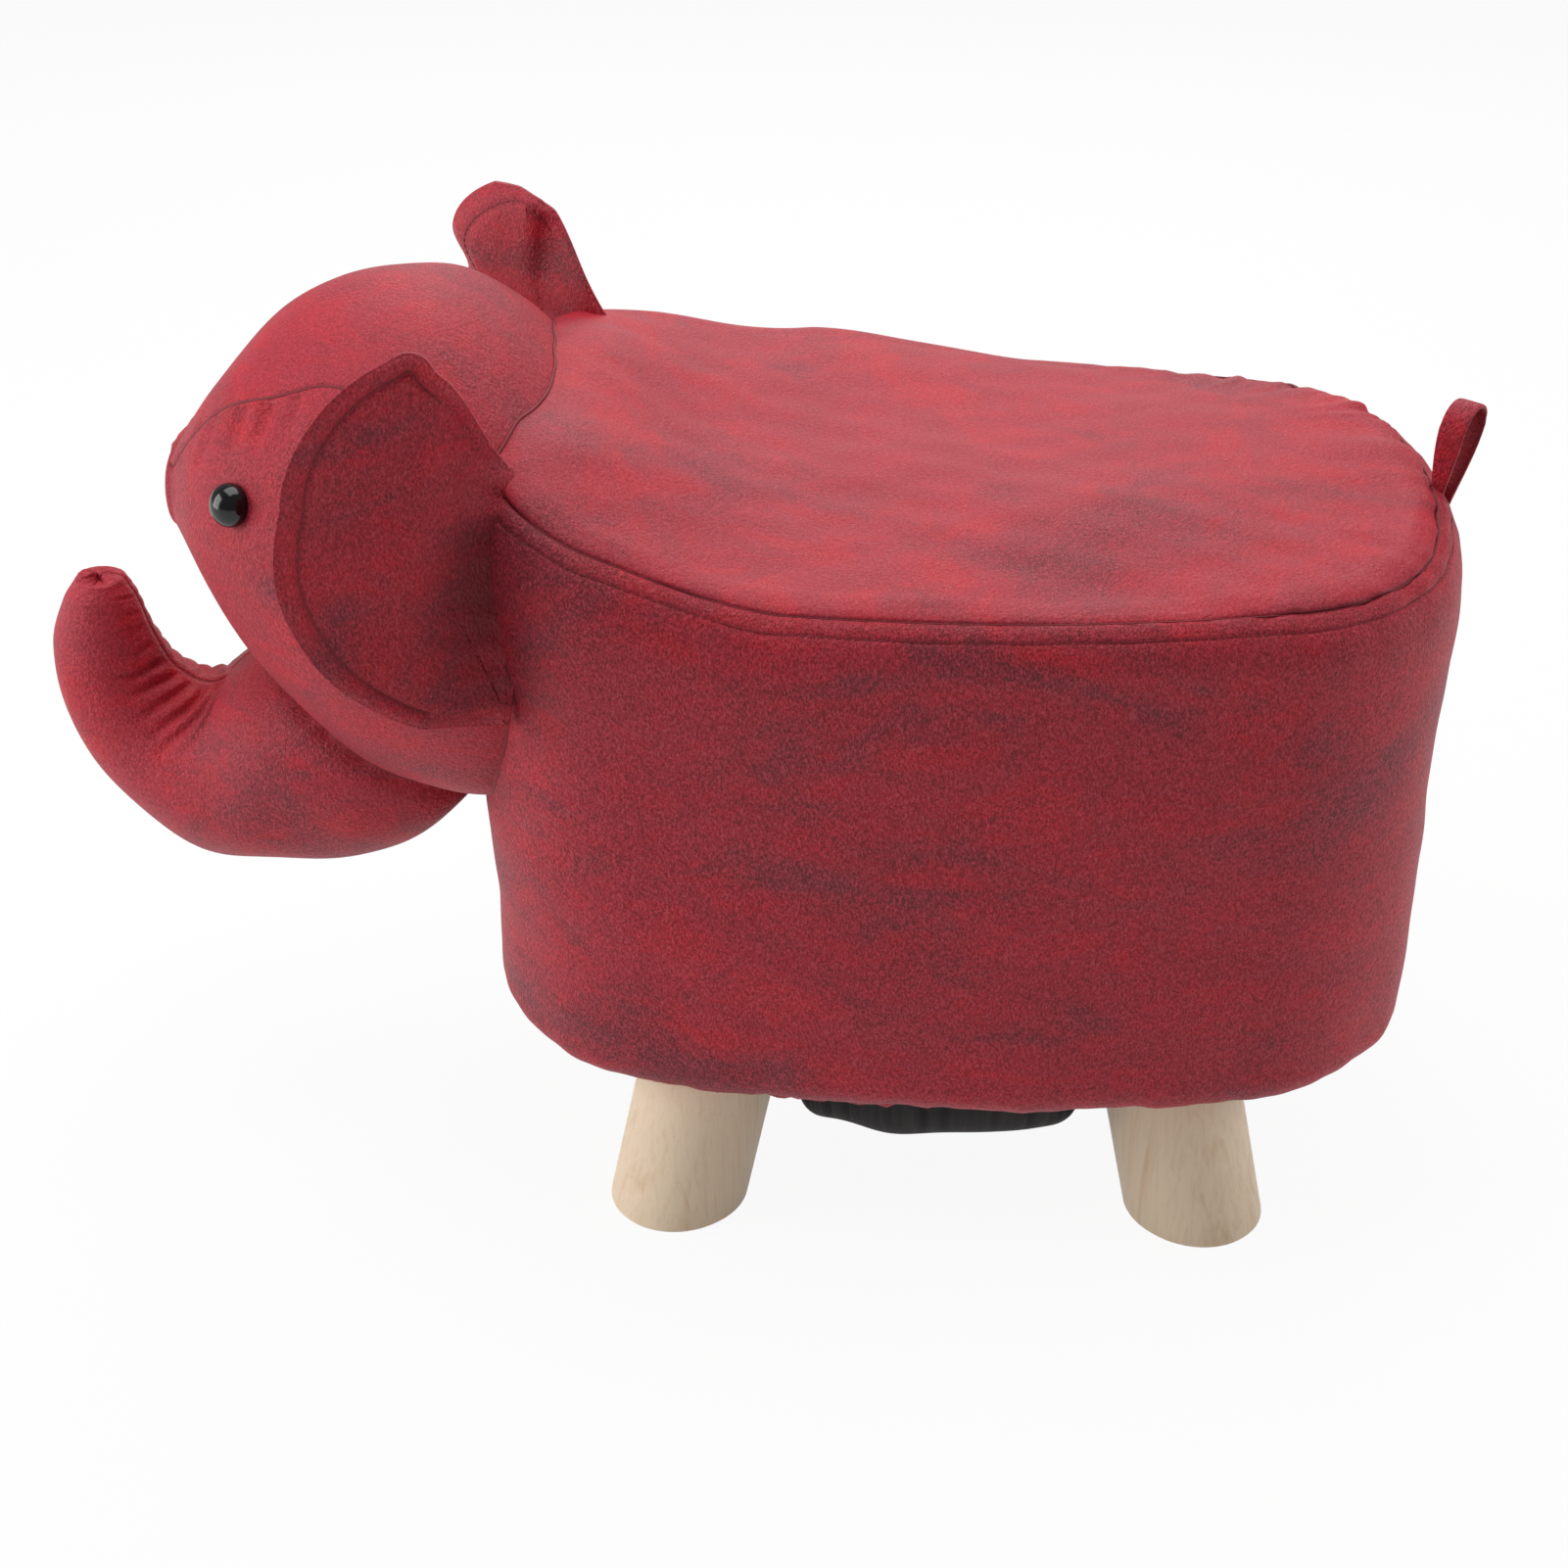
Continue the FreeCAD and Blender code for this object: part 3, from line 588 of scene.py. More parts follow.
# Hem: where its band lies, and the height and size of its gathers
hem_inset = 0.0205
hem_half_width = 0.0032
hem_drop = 0.0028
hem_half_depth = 0.0034
hem_gather = 0.0010
hem_gather_size = 0.030
hem_ruck = 0.0003
hem_ruck_size = 0.013
hem_sway = 0.0005


def hem_band():
    """Soft band drawn in under the edge, gathered into small scallops."""
    turns = np.linspace(0, 2 * math.pi, 14, endpoint=False)
    rings = []
    gather = ripple(around, hem_gather_size, 9)
    ruck = ripple(around, hem_ruck_size, 10)
    for turn in turns:
        inset = hem_inset - hem_half_width * math.cos(turn)
        drop = hem_drop - hem_half_depth * math.sin(turn)
        ring = with_height(low_line - low_way * inset, underside - drop)
        low_share = max(0.0, -math.sin(turn))
        ring[:, 2] -= (hem_gather + hem_gather * gather + hem_ruck * ruck) * low_share
        ring[:, :2] += low_way * (hem_sway * ruck)[:, None]
        rings.append(ring)
    rings.append(rings[0])
    grid = np.stack(rings)
    return mesh_object("gathered_hem", shifted(grid).reshape(-1, 3),
                       grid_faces(*grid.shape[:2], True, 0, False))


# Dust sheet: how its bag draws in and falls, and the folds in it
bag_draw_share = 0.20
bag_draw_power = 1.5
bag_fall_power = 0.8
bag_start = (0.001, 0.012)
bag_fold = 0.0018
bag_fold_size = 0.05
bag_fold_stretch = (1, 0.35)
bag_ripple_share = 0.012
bag_ripple_size = 0.022
bag_ripple_end = (0.020, 0.032)
sheet_inside = np.array([belly_shift, 0, 0.3])
sheet_depth = 0.0008


def dust_sheet():
    """Black sheet stapled under the base, its middle hanging in a loose bag."""
    sag_line, _ = oval(belly_half_length, belly_half_width, belly_corner,
                       belly_half_length * bulge_share, belly_half_width * bulge_share,
                       quarter_counts)
    sag_line = sag_line + (belly_shift, 0)
    rim_line = low_line - low_way * dust_inset
    centre = np.array([belly_shift, 0])
    rings = [with_height(rim_line + (sag_line - rim_line) * share, dust_level)
             for share in np.linspace(0, 1, 16)]
    for turn in np.linspace(0, math.pi / 2, 16)[1:]:
        draw = 1 - bag_draw_share * (1 - math.cos(turn)) ** bag_draw_power
        fall = belly_sag * math.sin(turn) ** bag_fall_power
        rings.append(with_height(centre + (sag_line - centre) * draw, dust_level - fall))
    last = rings[-1][:, :2]
    for share in np.linspace(1, 0, 22)[1:]:
        rings.append(with_height(centre + (last - centre) * share, dust_level - belly_sag))
    grid = np.stack(rings)
    sag = smooth(dust_level - grid[..., 2], *bag_start)
    folds = wander(grid[..., :2] * bag_fold_stretch, bag_fold_size, 11)
    grid[..., 2] += bag_fold * sag * folds
    edge = ripple(np.broadcast_to(around, sag.shape), bag_ripple_size, 12)
    side = sag * (1 - smooth(dust_level - grid[..., 2], *bag_ripple_end))
    grid[..., :2] += (grid[..., :2] - centre) * (bag_ripple_share * side * edge)[..., None]
    normals = grid_normals(grid, True, sheet_inside)
    inner = grid - normals * sheet_depth
    return shell_object("dust_sheet", shifted(grid), shifted(inner), True)


# Head

# From the neck to the brow: place along the head, half width, underside, top, roundness
head_shares = [
    (0.00, 0.90, 0.10, 0.76, 0.66),
    (0.11, 0.94, 0.06, 0.84, 0.66),
    (0.22, 0.99, 0.02, 0.93, 0.68),
    (0.35, 1.00, 0.01, 1.00, 0.70),
    (0.49, 0.95, 0.03, 1.01, 0.72),
    (0.62, 0.87, 0.10, 0.985, 0.73),
    (0.76, 0.74, 0.235, 0.918, 0.74),
    (0.89, 0.54, 0.415, 0.80, 0.74),
    (1.00, 0.25, 0.57, 0.665, 0.74),
]
section_counts = (26, 60, 26)


# How far along the head the neck draws in, and by what share of its width and height
neck_share = 0.112
neck_tuck = 0.16
neck_drop = 0.085
nose_start = 0.985
nose_end = 1.012
smallest_row = 0.004
crown_limit = 0.9

# Crown panel: place along the head and half width, as a share of the head's half width
crown_shares = [
    (0.0, 0.87), (0.20, 0.84), (0.37, 0.69), (0.545, 0.56), (0.69, 0.505), (0.82, 0.40),
    (0.93, 0.31), (0.975, 0.24), (1.005, 0.0),
]


def head_section(row):
    """Dense closed outline across the head, starting at its right side and going up."""
    along, width, low, high, roundness = row
    tuck = 1 - float(smooth(along, 0.0, neck_share))
    high = high - neck_drop * tuck
    half_y = width * head_half_width * (1 - neck_tuck * tuck)
    half_z = (high - low) / 2 * head_height
    middle = head_low + (low + high) / 2 * head_height
    line, _ = oval(half_y, half_z, roundness * min(half_y, half_z), half_y * bulge_share,
                   half_z * bulge_share, section_counts)
    x = np.full(len(line), head_rear - along * head_length)
    return np.stack([x, line[:, 0], line[:, 1] + middle], axis=1)


def resample(line, shares):
    """Points at shares of the length of an open line."""
    lengths = path_lengths(line, 0)
    goals = shares * lengths[-1]
    return np.stack([np.interp(goals, lengths, line[:, axis]) for axis in range(3)], axis=1)


def head_rows():
    """Rows from the neck to the brow, closing in a rounded nose."""
    rows = through(head_shares, 84)
    last = rows[-1].copy()
    middle = (last[2] + last[3]) / 2
    keep = rows[rows[:, 0] < nose_start]
    start = keep[-1]
    closing = []
    for turn in np.linspace(0, math.pi / 2, 12)[1:]:
        row = start.copy()
        shrink = max(math.cos(turn), smallest_row)
        row[0] = start[0] + (nose_end - start[0]) * math.sin(turn)
        row[1] = start[1] * shrink
        half = (start[3] - start[2]) / 2 * shrink
        row[2] = middle - half
        row[3] = middle + half
        closing.append(row)
    return np.vstack([keep, closing])


crown_curve = through(crown_shares, 120)


def crown_reach(x):
    """Half width of the crown panel at a place along the head."""
    along = (head_rear - x) / head_length
    return head_half_width * max(np.interp(along, *crown_curve.T), 0)


def head_split(row, side):
    """Outline across one side of the head, from the crown seam down to the chin."""
    section = head_section(row)
    count = len(section)
    top = count // 4
    half = section[np.arange(top, top - count // 2 - 1, -1) % count]
    half = half * (1, side, 1)
    reach = min(crown_reach(half[0, 0]), np.abs(half[:, 1]).max() * crown_limit)
    upper = np.abs(half[:count // 4, 1])
    cut = int(np.searchsorted(upper, reach))
    if cut == 0:
        return half, half[:1]
    share = (reach - upper[cut - 1]) / (upper[cut] - upper[cut - 1])
    corner = half[cut - 1] + (half[cut] - half[cut - 1]) * share
    return np.vstack([corner[None], half[cut:]]), np.vstack([half[:cut], corner[None]])


head_centre = np.array([-0.235, 0, 0.285])
cheek_skins = {}
seam_lines = []
seam_loops = []

# Pulls under the forehead seam: place, depth and width of each, and how they slant
eye_pulls = ((-0.2905, 0.0036, 0.0022), (-0.2800, 0.0030, 0.0019), (-0.2690, 0.0019, 0.0016),
             (-0.3010, 0.0015, 0.0018))
pull_slant = 0.35
pull_level = 0.335
pull_start = 0.004
pull_end = (0.010, 0.026)
head_wave = 0.0007
head_wave_size = 0.08
eye_dimple = 0.0013
eye_dimple_reach = 0.0095

# Panels of the head: spacing of their points, gathers beside the seam and thickness
panel_spacing = (0.0026, 0.0005, 0.008)
cheek_width = 0.30
crown_width = 0.16
gather_size = 0.017
gather_fade = 0.010
gather_start = 0.003
cheek_gather = 0.0004
cheek_gather_front = (0.22, 0.26)
chin_seam_share = 0.5
crown_gather = 0.0003
crown_gather_front = (0.22, 0.27)
crown_wave = 0.0006
crown_wave_size = 0.09
panel_depth = 0.0035
first_seam_row = 12

# Second fold beside the forehead seam
fold_place = 0.0105
fold_sway = 0.002
fold_rate = 90
fold_width = 0.0012
fold_depth = 0.0006
fold_first = (0.252, 0.262)
fold_last = (0.284, 0.300)

eye_sunk_turn = -0.45
eye_lift = 0.0006


def head_wrinkles(grid, across):
    """Height of the pulls round the eye and under the forehead seam."""
    x, z = grid[..., 0], grid[..., 2]
    lift = head_wave * wander(grid, head_wave_size, 20)
    under = smooth(across, 0.0, pull_start) * (1 - smooth(across, *pull_end))
    for place, depth, width in eye_pulls:
        lift -= depth * under * hump(x - pull_slant * (z - pull_level), place, width)
    from_eye = np.hypot(x - eye_x, z - eye_z)
    return lift - eye_dimple * hump(from_eye, 0, eye_dimple_reach)


def seam_gathers(front, along, to_seam, height, seed):
    """Small gathers beside the forehead seam, from the front of the head."""
    pull = ripple(along[:, :1] + 0 * to_seam, gather_size, seed)
    return height * front * pull * np.exp(-to_seam / gather_fade) \
        * smooth(to_seam, 0, gather_start)


def cheek(side):
    """Side panel of the head with its filling."""
    shares = close_spaced(cheek_width, *panel_spacing)
    grid = np.stack([resample(head_split(row, side)[0], shares) for row in head_rows()])
    normals = grid_normals(grid, False, head_centre)
    across = path_lengths(grid, 1)
    chin = across[:, -1:] - across
    along = path_lengths(grid, 0)
    lift = head_wrinkles(grid, across)
    lift += seam_dip(across) + chin_seam_share * seam_dip(chin)
    front = smooth(-grid[..., 0], *cheek_gather_front)
    lift += seam_gathers(front, along, across, cheek_gather, 21 + side)
    outer = shifted(grid + normals * lift[..., None])
    cheek_skins[side] = (outer, shifted(grid), normals)
    seam_lines.append(outer[first_seam_row:, 0])
    name = "cheek_left" if side < 0 else "cheek_right"
    return shell_object(name, outer, outer - normals * panel_depth, False, sewn_mark(across))


def crown():
    """Broad panel over the top of the head, from the brow to the neck."""
    shares = close_spaced(crown_width, *panel_spacing)
    lines = []
    for row in head_rows():
        right = head_split(row, 1)[1]
        left = head_split(row, -1)[1]
        if len(right) < 2:
            break
        lines.append(resample(np.vstack([left[::-1], right[1:]]), shares))
    lines.append(np.repeat(lines[-1][:1] * (1, 0, 1), len(shares), axis=0))
    grid = np.stack(lines)
    normals = grid_normals(grid, False, head_centre)
    normals[-1] = normals[-2].mean(axis=0)
    across = path_lengths(grid, 1)
    to_seam = np.minimum(across, across[:, -1:] - across)
    along = path_lengths(grid, 0)
    x = grid[..., 0]
    front = smooth(-x, *crown_gather_front)
    lift = seam_dip(to_seam) + crown_wave * wander(grid, crown_wave_size, 24)
    lift += seam_gathers(front, along, to_seam, crown_gather, 25)
    beside = hump(to_seam, fold_place + fold_sway * np.sin(x * fold_rate), fold_width)
    lift -= fold_depth * beside * smooth(-x, *fold_first) * (1 - smooth(-x, *fold_last))
    outer = shifted(grid + normals * lift[..., None])
    cheek_skins[0] = (outer, shifted(grid), normals)
    return shell_object("crown", outer, outer - normals * panel_depth, False,
                        sewn_mark(to_seam))


def eye_dome(side):
    """Glossy domed eye on the cheek, its rim sunk in a small dimple."""
    _, skin, normals = cheek_skins[side]
    away = np.hypot(skin[..., 0] - body_shift - eye_x, skin[..., 2] - eye_z)
    place = np.unravel_index(np.argmin(away), away.shape)
    out = Vector(normals[place])
    first = out.orthogonal().normalized()
    second = out.cross(first)
    centre = Vector(skin[place])
    rings = []
    for turn in np.linspace(eye_sunk_turn, math.pi / 2, 26):
        radius = eye_radius * math.cos(turn)
        height = eye_bulge * math.sin(turn)
        rings.append([centre + out * (height + eye_lift) + first * (radius * math.cos(a))
                      + second * (radius * math.sin(a))
                      for a in np.linspace(0, 2 * math.pi, 56, endpoint=False)])
    grid = np.array(rings)
    base = np.repeat(grid[:1].mean(axis=1, keepdims=True), grid.shape[1], axis=1)
    name = "eye_dome_left" if side < 0 else "eye_dome_right"
    return closed_object(name, np.concatenate([base, grid]))


# Trunk

# From inside the head to the tip: forward, up, half width, half depth, heading in degrees
trunk_shares = [
    (0.00, 0.57, 1.00, 0.74, -22),
    (0.25, 0.28, 1.12, 0.88, -18),
    (0.49, 0.14, 1.00, 0.80, -8),
    (0.68, 0.06, 0.79, 0.73, 10),
    (0.85, 0.20, 0.56, 0.55, 48),
    (0.945, 0.43, 0.44, 0.44, 74),
    (0.977, 0.67, 0.37, 0.37, 88),
    (0.976, 0.88, 0.28, 0.27, 90),
    (0.97, 0.985, 0.19, 0.18, 92),
]


trunk_skins = {}
trunk_spacing = (0.0022, 0.0006, 0.008)
trunk_width = 0.16
tip_rise = 0.030
tip_closing = 0.03
inner_curl_seam = 0.0010
outer_curl_seam = 0.0008
first_curl_row = 30
trunk_wave = 0.0007
trunk_wave_size = 0.050

# Creases inside the curl, as shares of the trunk's length and girth; depths in metres
crease_count = 10
crease_first = 0.40
crease_offset = 0.012
crease_step = 0.052
crease_stray = 0.010
root_creases = (0.62, 0.74)
crease_depth = 0.0007
root_crease_depth = 0.0013
root_crease_stray = (0.6, 1.0)
crease_width = 0.0065
root_crease_width = 0.0040
crease_slant = (0.02, 0.09)
crease_reach = 0.38
root_crease_reach = 0.12
crease_reach_stray = (-0.08, 0.12)
crease_start = (0.02, 0.12)
crease_fade = 0.45
crease_waver = 0.004
crease_waver_rate = 21
ridge_share = 0.35
ridge_place = 0.020

# Valley where the trunk meets the cheeks, and the cleft at its tip
cheek_valley = 0.0028
valley_reach = 0.0050
valley_pucker = 0.35
valley_pucker_size = 0.012
tip_cleft = 0.0045
tip_share = 0.945
tip_ruck = 0.0007
tip_ruck_length = 0.1
tip_ruck_size = 0.022
trunk_wall = 0.003
thin_wall_radius = 0.012
thinnest_wall = 0.02


def trunk_rows():
    """Rows from inside the head to the tip, closing in a rounded end."""
    rows = through(trunk_shares, 150)
    start = rows[-1]
    closing = []
    for turn in np.linspace(0, math.pi / 2, 9)[1:]:
        row = start.copy()
        row[1] = start[1] + tip_rise * math.sin(turn)
        row[2:4] = start[2:4] * max(math.cos(turn), tip_closing)
        closing.append(row)
    return np.vstack([rows, closing])


def trunk_line(row, side):
    """Outline across one half of the trunk, from the inside of its curl to the outside."""
    forward, up, width, depth, heading = row
    angle = math.radians(heading)
    inward = np.array([math.sin(angle), 0, math.cos(angle)])
    half_y, half_v = width * trunk_radius, depth * trunk_radius
    line, _ = oval(half_y, half_v, trunk_roundness * min(half_y, half_v),
                   half_y * bulge_share, half_v * bulge_share, section_counts)
    count = len(line)
    half = line[np.arange(count // 4, count // 4 - count // 2 - 1, -1) % count]
    centre = np.array([trunk_root - forward * trunk_reach, 0, trunk_low + up * trunk_rise])
    return centre + half[:, :1] * np.array([0, side, 0]) + half[:, 1:] * inward


def trunk_creases(along, share, side):
    """Height of the creases that run across the inside of the curl."""
    rng = np.random.default_rng(rng_seed + 33)
    bend = crease_first + crease_offset * side
    creases = []
    for number in range(crease_count):
        place = bend + number * crease_step + rng.uniform(-crease_stray, crease_stray)
        root_side = 1 - smooth(place, *root_creases)
        depth = crease_depth + root_crease_depth * root_side * rng.uniform(*root_crease_stray)
        width = crease_width + root_crease_width * root_side
        slant = rng.uniform(*crease_slant)
        reach = crease_reach + root_crease_reach * root_side + rng.uniform(*crease_reach_stray)
        taper = smooth(share, *crease_start) * (1 - smooth(share, crease_fade * reach, reach))
        wavy = slant * share + crease_waver * np.sin(share * crease_waver_rate + number)
        creases.append(-depth * taper * hump(along - wavy, place, width))
        creases.append(ridge_share * depth * taper
                       * hump(along - wavy, place + ridge_place, width))
    return creases


def trunk_half(side, *neighbours):
    """One half of the trunk, from the seam inside its curl to the seam outside."""
    shares = close_spaced(trunk_width, *trunk_spacing)
    grid = np.stack([resample(trunk_line(row, side), shares) for row in trunk_rows()])
    middle = grid.mean(axis=1, keepdims=True) * (1, 0, 1)
    normals = grid_normals(grid, False, middle)
    across = path_lengths(grid, 1)
    outer_seam = across[:, -1:] - across
    along = np.linspace(0, 1, len(grid))[:, None] + 0 * across
    share = across / across[:, -1:]
    lift = seam_dip(across, inner_curl_seam) + seam_dip(outer_seam, outer_curl_seam)
    for height in trunk_creases(along, share, side):
        lift += height
    lift += trunk_wave * wander(grid, trunk_wave_size, 31)
    tree = skin_tree(*neighbours)
    away = np.array([[tree.find_nearest(Vector(point))[3] for point in row]
                     for row in shifted(grid)])
    pucker = 1 + valley_pucker * ripple(across, valley_pucker_size, 35)
    lift -= cheek_valley * pucker * hump(away, 0, valley_reach)
    last = smooth(along, tip_share, 1.0)
    outer = grid + normals * lift[..., None]
    outer[..., 2] -= tip_cleft * last * np.sin(math.pi * share) ** 2
    outer[..., 2] += tip_ruck * last * ripple(share * tip_ruck_length, tip_ruck_size, 34)
    outer = shifted(outer)
    seam_lines.append(outer[first_curl_row:, 0])
    trunk_skins[side] = outer
    girth = np.linalg.norm(grid - middle, axis=-1).max(axis=1)
    scale = np.clip(girth / thin_wall_radius, thinnest_wall, 1)
    inner = outer - normals * (trunk_wall * scale)[:, None, None]
    name = "trunk_half_left" if side < 0 else "trunk_half_right"
    return shell_object(name, outer, inner, False, sewn_mark(across))


# Ears

# Outline from the top of the root round to its foot: forward and up, as shares of the ear
ear_shares = [
    (0.46, 0.94), (0.56, 1.0), (0.66, 0.965), (0.94, 0.74), (1.06, 0.36), (0.90, -0.40),
    (0.34, -1.0),
]
root_tuck = 0.004


def circle_arc(a, b, c, count):
    """Points on the circle through three points, the last left out."""
    a, b, c = (np.array(p, float) for p in (a, b, c))
    d = 2 * ((a[0] - c[0]) * (b[1] - c[1]) - (b[0] - c[0]) * (a[1] - c[1]))
    sa = ((a - c) ** 2).sum()
    sb = ((b - c) ** 2).sum()
    centre = c + np.array([sa * (b[1] - c[1]) - sb * (a[1] - c[1]),
                           sb * (a[0] - c[0]) - sa * (b[0] - c[0])]) / d
    angles = [math.atan2(*(p - centre)[::-1]) for p in (a, b, c)]
    turn = np.unwrap(angles)
    if (turn[1] - turn[0]) * (turn[2] - turn[1]) < 0:
        turn[2] = turn[0] + (turn[2] - turn[0]) - math.copysign(2 * math.pi, turn[2] - turn[0])
    swept = np.linspace(turn[0], turn[2], count, endpoint=False)
    return centre + np.linalg.norm(a - centre) * np.stack([np.cos(swept), np.sin(swept)], axis=1)


def ear_rim(count):
    """Outline of the flap in the flat, evenly spaced, from the foot of its root."""
    points = [np.array([f * ear_reach, u * (ear_top if u > 0 else ear_low)])
              for f, u in ear_shares]
    half = ear_root_length / 2
    low, high = np.array([-root_tuck, -half]), np.array([-root_tuck, half])
    line = np.vstack([
        [low, (low + high) / 2, high],
        circle_arc(points[0], points[1], points[2], 10),
        circle_arc(points[2], points[3], points[4], 40),
        circle_arc(points[4], points[5], points[6], 40),
        [points[6], low],
    ])
    flat = np.concatenate([line, np.zeros((len(line), 1))], axis=1)
    return resample(flat, np.linspace(0, 1, count, endpoint=False))[:, :2]


def ear_frame(side):
    lean = np.array(ear_lean)
    forward = np.array([-1.0, 0, 0])
    forward = unit_rows(forward - lean * (forward @ lean))
    outward = np.cross(forward, lean)
    flip = np.array([1, side, 1])
    return forward * flip, lean * flip, outward * flip


# Rows of points in from the rim; the topstitching lies on the row named here
rim_insets = (0, 0.0004, 0.0010, 0.0018, 0.0028, 0.0040, 0.0052, 0.0062, 0.0070, 0.0078,
              0.0088, 0.0100)
inner_rows = 33
hem_ring = 8
hem_place = 0.0070
ear_middle_share = (0.42, 0.16)

# Shape of the flap: its turned rim, gathered root, hollow, one long pleat and dipping root
rim_width = 0.012
rim_turn = 0.0030
rim_turn_start = (0.02, 0.05)
root_gather = 0.0010
root_gather_size = 0.024
root_gather_fade = 0.018
ear_wave = 0.0012
ear_wave_size = 0.06
ear_hollow = 0.004
hollow_place = (0.020, -0.010)
hollow_size = (0.016, 0.036)
pleat_height = 0.0035
pleat_slant = 0.25
pleat_place = 0.036
pleat_width = 0.0070
pleat_fade = 0.022
root_top = (0.010, 0.055)
root_dive = 0.021
root_top_dive = 0.007
root_dive_end = (-0.004, 0.036)
root_top_drop = 0.010
root_drop_end = (-0.004, 0.030)
root_push = 0.010
root_push_end = (0.0, 0.034)

# The right ear's tip is folded over
bend_start = 0.005
bend_crease = 0.0035
bend_crease_place = 0.040
bend_crease_width = 0.008
bend_drop = 0.004
bend_flat = 0.6
bend_flat_height = 0.014
bend_narrow = 0.05
bend_waist = 0.22
bend_waist_place = 0.020
bend_waist_width = 0.016
bend_back = 0.012
bend_back_end = (0.0, 0.040)

# Thickness: pinched at the rim, pressed in at the stitching, thinner at the root
rim_thick_share = 0.30
rim_thick_reach = 0.0035
pressed_share = 0.30
pressed_width = 0.0014
pressed_start = (0.016, 0.030)
root_thick_share = 0.75
root_thick_reach = 0.02
hemmed_start = (0.020, 0.034)
hem_crease = 0.0007
hem_crease_width = 0.0011
hem_start = 0.026
hem_lift = 0.0001
layer_share = 0.8
hem_mark = 0.8
hem_mark_width = 0.0007
# Painted shade in the ear's hollow beside its root: how dark, where and how far
painted_shade_mark = 0.95
shade_place = (0.010, -0.002)
shade_size = (0.017, 0.034)
hem_lines = {}


def ear_rings(count):
    """Rings of points in the flat, from the rim to the middle, and their depth in from it."""
    rim = ear_rim(count)
    ahead = np.roll(rim, -3, axis=0) - np.roll(rim, 3, axis=0)
    inward = unit_rows(np.stack([ahead[:, 1], -ahead[:, 0]], axis=1))
    middle = np.array([ear_middle_share[0] * ear_reach, ear_middle_share[1] * ear_top])
    if np.sum(inward * (middle - rim)) < 0:
        inward = -inward
    rings = [rim + inward * inset for inset in rim_insets]
    last = rings[-1]
    rings += [middle + (last - middle) * share
              for share in np.linspace(1, 0, inner_rows + 1)[1:]]
    flat = np.stack(rings)
    depth = np.concatenate([rim_insets, np.full(inner_rows, 1.0)])
    return rim, flat, np.broadcast_to(depth[:, None], flat.shape[:2])


def cupped(u):
    """Height of the arc that the flap follows from its root to its rim."""
    chord = math.hypot(ear_reach, ear_flare)
    radius = (chord ** 2 / 4 + ear_cup ** 2) / (2 * ear_cup)
    across = radius - ear_cup
    bow_u = ear_reach / 2 - ear_flare / chord * across
    bow_w = ear_flare / 2 + ear_reach / chord * across
    return bow_w - np.sqrt(radius ** 2 - (u - bow_u) ** 2)


def ear_surface(flat, depth, side):
    """Places of the flap's front: forward from the root, up along it and outward."""
    u, v = flat[..., 0], flat[..., 1]
    from_root = np.clip(u, 0, None)
    w = cupped(u)
    rim_share = 1 - smooth(depth, 0.0, rim_width)
    w = w + rim_turn * rim_share * smooth(u, *rim_turn_start)
    gather = ripple(v + 0 * u, root_gather_size, 40 + side)
    w = w + root_gather * gather * np.exp(-from_root / root_gather_fade)
    w = w + ear_wave * wander(flat, ear_wave_size, 42 + side)
    w = w - ear_hollow * hump(u, hollow_place[0], hollow_size[0]) \
        * hump(v, hollow_place[1], hollow_size[1])
    w = w + pleat_height * hump(v + pleat_slant * from_root, pleat_place, pleat_width) \
        * np.exp(-from_root / pleat_fade)
    upper = smooth(v, *root_top)
    w = w - (root_dive + root_top_dive * upper) * (1 - smooth(u, *root_dive_end))
    v = v - root_top_drop * upper * (1 - smooth(u, *root_drop_end))
    if side < 0:
        u = u + root_push * upper * (1 - smooth(u, *root_push_end))
    else:
        bent = smooth(v, bend_start, ear_top)
        w = w - bend_crease * hump(u, bend_crease_place, bend_crease_width) * bent
        v = v - bend_drop * bent
        v = v - bend_flat * np.clip(v - ear_top + bend_flat_height, 0, None)
        waist = bend_waist * hump(v, bend_waist_place, bend_waist_width)
        u = u * (1 - bend_narrow * bent - waist) - bend_back * smooth(v, *bend_back_end)
    return u, v, w


def ear_thickness(u, depth):
    """Thickness of the flap at places forward of its root and depths in from its rim."""
    thick = ear_depth * (rim_thick_share
                         + (1 - rim_thick_share) * smooth(depth, 0.0, rim_thick_reach))
    thick = thick * (1 - pressed_share * hump(depth, hem_place, pressed_width)
                     * smooth(u, *pressed_start))
    return thick * (root_thick_share
                    + (1 - root_thick_share) * smooth(u, 0.0, root_thick_reach))


